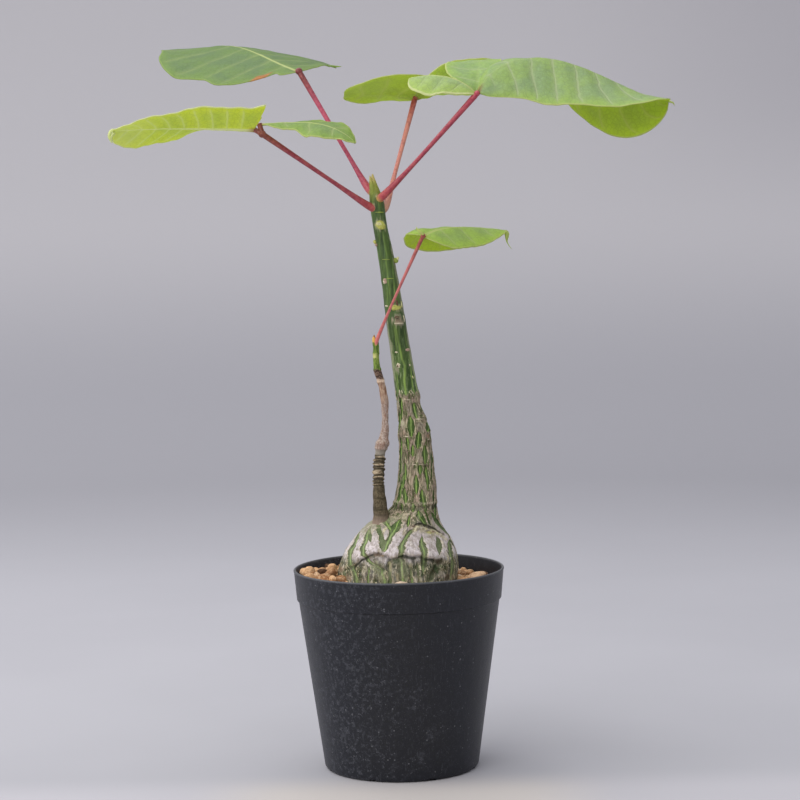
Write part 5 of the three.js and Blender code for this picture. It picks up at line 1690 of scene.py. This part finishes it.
def leaf_finish(name, leaflet, body, underside):
    """Leaf skin with pale midrib, soft side veins, a fine net between them, and a pale margin."""
    skin = Finish(name)
    around = skin.place()

    # Where a point lies on the blade, and how far it is from the nearest side vein
    lengthwise = skin.attribute("lengthwise")
    from_midrib = skin.attribute("from_midrib")
    from_margin = skin.attribute("from_margin")
    aside = skin.absolute(from_midrib)
    whole = skin.plus(aside, from_margin)
    wide = skin.maths("DIVIDE", aside, skin.maths("MAXIMUM", whole, 0.2))
    lean_base, lean_rise = leaflet.get("lean", VEIN_LEAN)
    lean = skin.plus(skin.times(lengthwise, lean_rise), lean_base)
    bend = skin.times(skin.plus(wide, skin.times(wide, wide)), lean)
    turn = skin.times(skin.minus(lengthwise, bend), vein_count(leaflet))
    wander = skin.times(skin.minus(skin.noise(around, 0.1, 2), 0.5), 0.3)
    phase = skin.maths("PINGPONG", skin.plus(turn, wander), 0.5)
    from_vein = skin.times(phase, leaflet["length"] / vein_count(leaflet))
    vein_reach = skin.times(skin.step(from_margin, 0.4, 4.0), skin.step(lengthwise, 0.05, 0.14))
    sharp_veins = skin.times(skin.step(from_vein, 0.75, 0.2), vein_reach)
    soft_veins = skin.times(skin.step(from_vein, 2.4, 0.2), vein_reach)
    rib_width = skin.step(lengthwise, 0, 1, 1.15, 0.35)
    midrib = skin.step(skin.maths("DIVIDE", aside, rib_width), 1.0, 0.5)
    midrib = skin.times(midrib, skin.step(lengthwise, leaflet["rib"] - 0.08, leaflet["rib"], 0.12, 1))

    # Body colour: clouded, with a bloom, a fine net of veins and pale specks
    speck = skin.step(skin.noise(around, 1.3, 3, 0.6), 0.6, 0.7, 0, 0.3)
    net = skin.cells(around, 0.4, feature="DISTANCE_TO_EDGE")
    fine = skin.step(net, 0.1, 0.02)
    cloud = skin.noise(around, 0.08, 4, 0.55)
    bloom = skin.noise(around, 0.55, 5, 0.65)
    lighter = [min(255, part * 1.16 + 8) for part in body]
    darker = [part * 0.8 for part in body]
    edge = [min(255, part * 1.1 + 6) for part in body[:2]] + [body[2] * 0.8]
    colour = skin.mix(skin.step(cloud, 0.36, 0.64), srgb(*body), skin.mix(0.5, srgb(*body), srgb(*edge)))
    colour = skin.wash(colour, lighter, bloom, 0.5, 0.75, 0.4)
    colour = skin.wash(colour, darker, bloom, 0.45, 0.25, 0.3)
    colour = skin.wash(colour, edge, from_margin, 8, 0.5, 0.7)
    colour = skin.mix(skin.times(fine, 0.25), colour, srgb(*darker))
    colour = skin.mix(speck, colour, srgb(*lighter))

    # Pale tip, veins, midrib and margin
    pale = [part + (225 - part) * 0.55 for part in body[:2]] + [body[2] + 30]
    pale = srgb(*leaflet.get("vein_colour", pale))
    if "tip_colour" in leaflet:
        colour = skin.mix(skin.step(lengthwise, 0.6, 0.92, 0, 0.55), colour, srgb(*leaflet["tip_colour"]))
    sharp_share, soft_share = leaflet.get("veins", VEIN_SHARES)
    colour = skin.mix(skin.times(soft_veins, soft_share), colour, pale)
    colour = skin.mix(skin.times(sharp_veins, sharp_share), colour, pale)
    colour = skin.mix(skin.times(midrib, 0.9), colour, srgb(*leaflet.get("rib_colour", RIB_COLOUR)))
    pale_margin = srgb(*leaflet.get("margin", MARGIN_COLOUR))
    margin_share = leaflet.get("margin_share", 0.85)
    margin_width = leaflet.get("margin_width", 1)
    at_margin = skin.step(from_margin, margin_width, margin_width * 0.4)
    if "joined" in leaflet:
        beyond = skin.step(lengthwise, *leaflet["joined"])
        at_margin = skin.times(at_margin, skin.maths("MAXIMUM", beyond, skin.step(from_midrib, 0.5, -0.5)))
    colour = skin.mix(skin.times(at_margin, margin_share), colour, pale_margin)

    # Reddish foot, and a dry brown place on the margin
    foot = skin.times(skin.step(lengthwise, 0.07, 0.0), skin.step(aside, 2.2, 0.6))
    colour = skin.mix(skin.times(foot, 0.7), colour, srgb(168, 92, 66))
    if "burnt" in leaflet:
        where, reach = leaflet["burnt"]
        far = skin.absolute(skin.minus(lengthwise, where))
        scorch = skin.times(skin.step(far, reach, reach * 0.6), skin.step(from_margin, 7, 4))
        scorch = skin.times(scorch, skin.step(from_midrib, 0.4, 1.5))
        colour = skin.mix(scorch, colour, skin.mix(bloom, srgb(176, 96, 52), srgb(226, 160, 104)))

    # Veins are sunk in the upper skin and raised on the lower one, and light passes through both
    rise = skin.plus(skin.times(sharp_veins, 0.5), skin.times(fine, 0.2))
    relief = skin.plus(skin.times(rise, 1 if underside else -1), skin.times(bloom, 0.4))
    normal = skin.bump(relief, 0.35, 0.75)
    material = skin.surface(colour, 0.5 if underside else 0.44, normal, Specular_IOR_Level=0.35)
    through_colour = skin.mix(0.5, colour, srgb(200, 216, 78))
    shining = skin.node("BsdfTranslucent", {"Color": through_colour, "Normal": normal})
    both = skin.node("MixShader", {0: 0.5, 1: skin.shader.outputs[0], 2: shining})
    skin.fill(skin.tree.nodes["Material Output"].inputs["Surface"], both)
    return material


for name, leaflet in LEAFLETS.items():
    top_finish = leaf_finish(f"{name}_top", leaflet, leaflet["top"], False)
    under_finish = leaf_finish(f"{name}_underside", leaflet, leaflet["under"], True)
    blade_shape = bmesh.new()
    add_blade(blade_shape, leaflet)
    piece = object_from(blade_shape, f"{name}_skin", [top_finish, under_finish])
    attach(piece, "root")
    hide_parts(f"leaf_{name}")

# Studio
# A plain pale floor that rises in a wide curve all round to a plain backdrop, under soft light from above,
# the left and the front. The camera stands a metre in front of the plant and a little above its middle.
# The floor and the backdrop are in millimetres, as the pieces are, and the lights and the camera in metres.
FLOOR_RADIUS = 1300
CURVE_RADIUS = 700
BACKDROP_TOP = 800
COVE_STEPS = 96
SKY_COLOUR, SKY_STRENGTH = (0.95, 0.96, 1, 1), 0.78
CAMERA_PLACE = (0.00206, -1.0892, 0.26425)
CAMERA_PITCH, CAMERA_ROLL = math.radians(90 - 4.234), -0.0171
LENS, SENSOR_WIDTH = 99, 36

cove_outline = [(0, 0), (FLOOR_RADIUS, 0)]
for turn in np.radians(range(6, 91, 6)):
    beyond_floor = CURVE_RADIUS * math.sin(turn)
    cove_outline.append((FLOOR_RADIUS + beyond_floor, CURVE_RADIUS - CURVE_RADIUS * math.cos(turn)))
cove_outline.append((FLOOR_RADIUS + CURVE_RADIUS, BACKDROP_TOP))
cove_shape = turned_shape(cove_outline, COVE_STEPS, 0.01)

# Paper whose tone drifts a little, as the light falls off to the back, up the backdrop and to the right,
# with a lighter band of painted light across the floor in front of the pot, warmest right before it
paper = Finish("backdrop_paper")
soft = paper.noise(paper.place(), 0.004, 3)
level = paper.height()
paper_colour = paper.blend(soft, 0.35, 0.65, (172, 171, 177), (175, 174, 180))
depth = paper.distance_along("Y")
across = paper.distance_along("X")
in_front = paper.step(paper.absolute(across), 110, 50)
near = paper.mix(in_front, srgb(184, 182, 188), srgb(196, 190, 187))
near_share = paper.times(paper.step(depth, -15, -60), paper.step(depth, -420, -160))
paper_colour = paper.mix(near_share, paper_colour, near)
paper_colour = paper.wash(paper_colour, (158, 157, 163), depth, 250, 1150)
paper_colour = paper.wash(paper_colour, (178, 176, 180), level, 70, 300)
to_right = paper.times(paper.step(across, 150, 600), paper.step(level, 220, 480))
paper_colour = paper.mix(to_right, paper_colour, srgb(167, 165, 170))
cove = object_from(cove_shape, "backdrop", [paper.surface(paper_colour, 0.9, Specular_IOR_Level=0.1)])

scene = bpy.context.scene
scene.view_settings.view_transform = "Standard"
sky = bpy.data.worlds.new("studio")
sky.use_nodes = True
daylight = sky.node_tree.nodes["Background"]
daylight.inputs["Color"].default_value = SKY_COLOUR
daylight.inputs["Strength"].default_value = SKY_STRENGTH
scene.world = sky

# Soft lights: name, place, point it faces, size, power, colour
for name, place, target, size, power, colour in [
    ("window", (-1.3, -0.2, 1.2), (0, 0, 0.2), 1.2, 10, (1, 0.99, 0.96)),
    ("overhead", (-0.1, 0.4, 1.5), (0, 0, 0.2), 1.2, 5, (1, 1, 1)),
    ("front", (-0.8, -1.4, 1.0), (0, 0, 0.22), 1.3, 14, (1, 0.99, 0.97)),
    ("backdrop", (-0.6, 0.7, 1.7), (-0.2, 2.0, 0.6), 1.0, 9, (1, 1, 1)),
]:
    light = bpy.data.lights.new(name, "AREA")
    light.size = size
    light.energy = power
    light.color = colour
    lamp = bpy.data.objects.new(name, light)
    lamp.location = place
    lamp.rotation_euler = (Vector(target) - Vector(place)).to_track_quat("-Z", "Y").to_euler()
    scene.collection.objects.link(lamp)

lens = bpy.data.cameras.new("camera")
lens.sensor_width = SENSOR_WIDTH
lens.lens = LENS
camera = bpy.data.objects.new("camera", lens)
pitch = Matrix.Rotation(CAMERA_PITCH, 4, "X")
roll = Matrix.Rotation(CAMERA_ROLL, 4, "Z")
camera.matrix_world = Matrix.Translation(CAMERA_PLACE) @ pitch @ roll
scene.collection.objects.link(camera)
scene.camera = camera
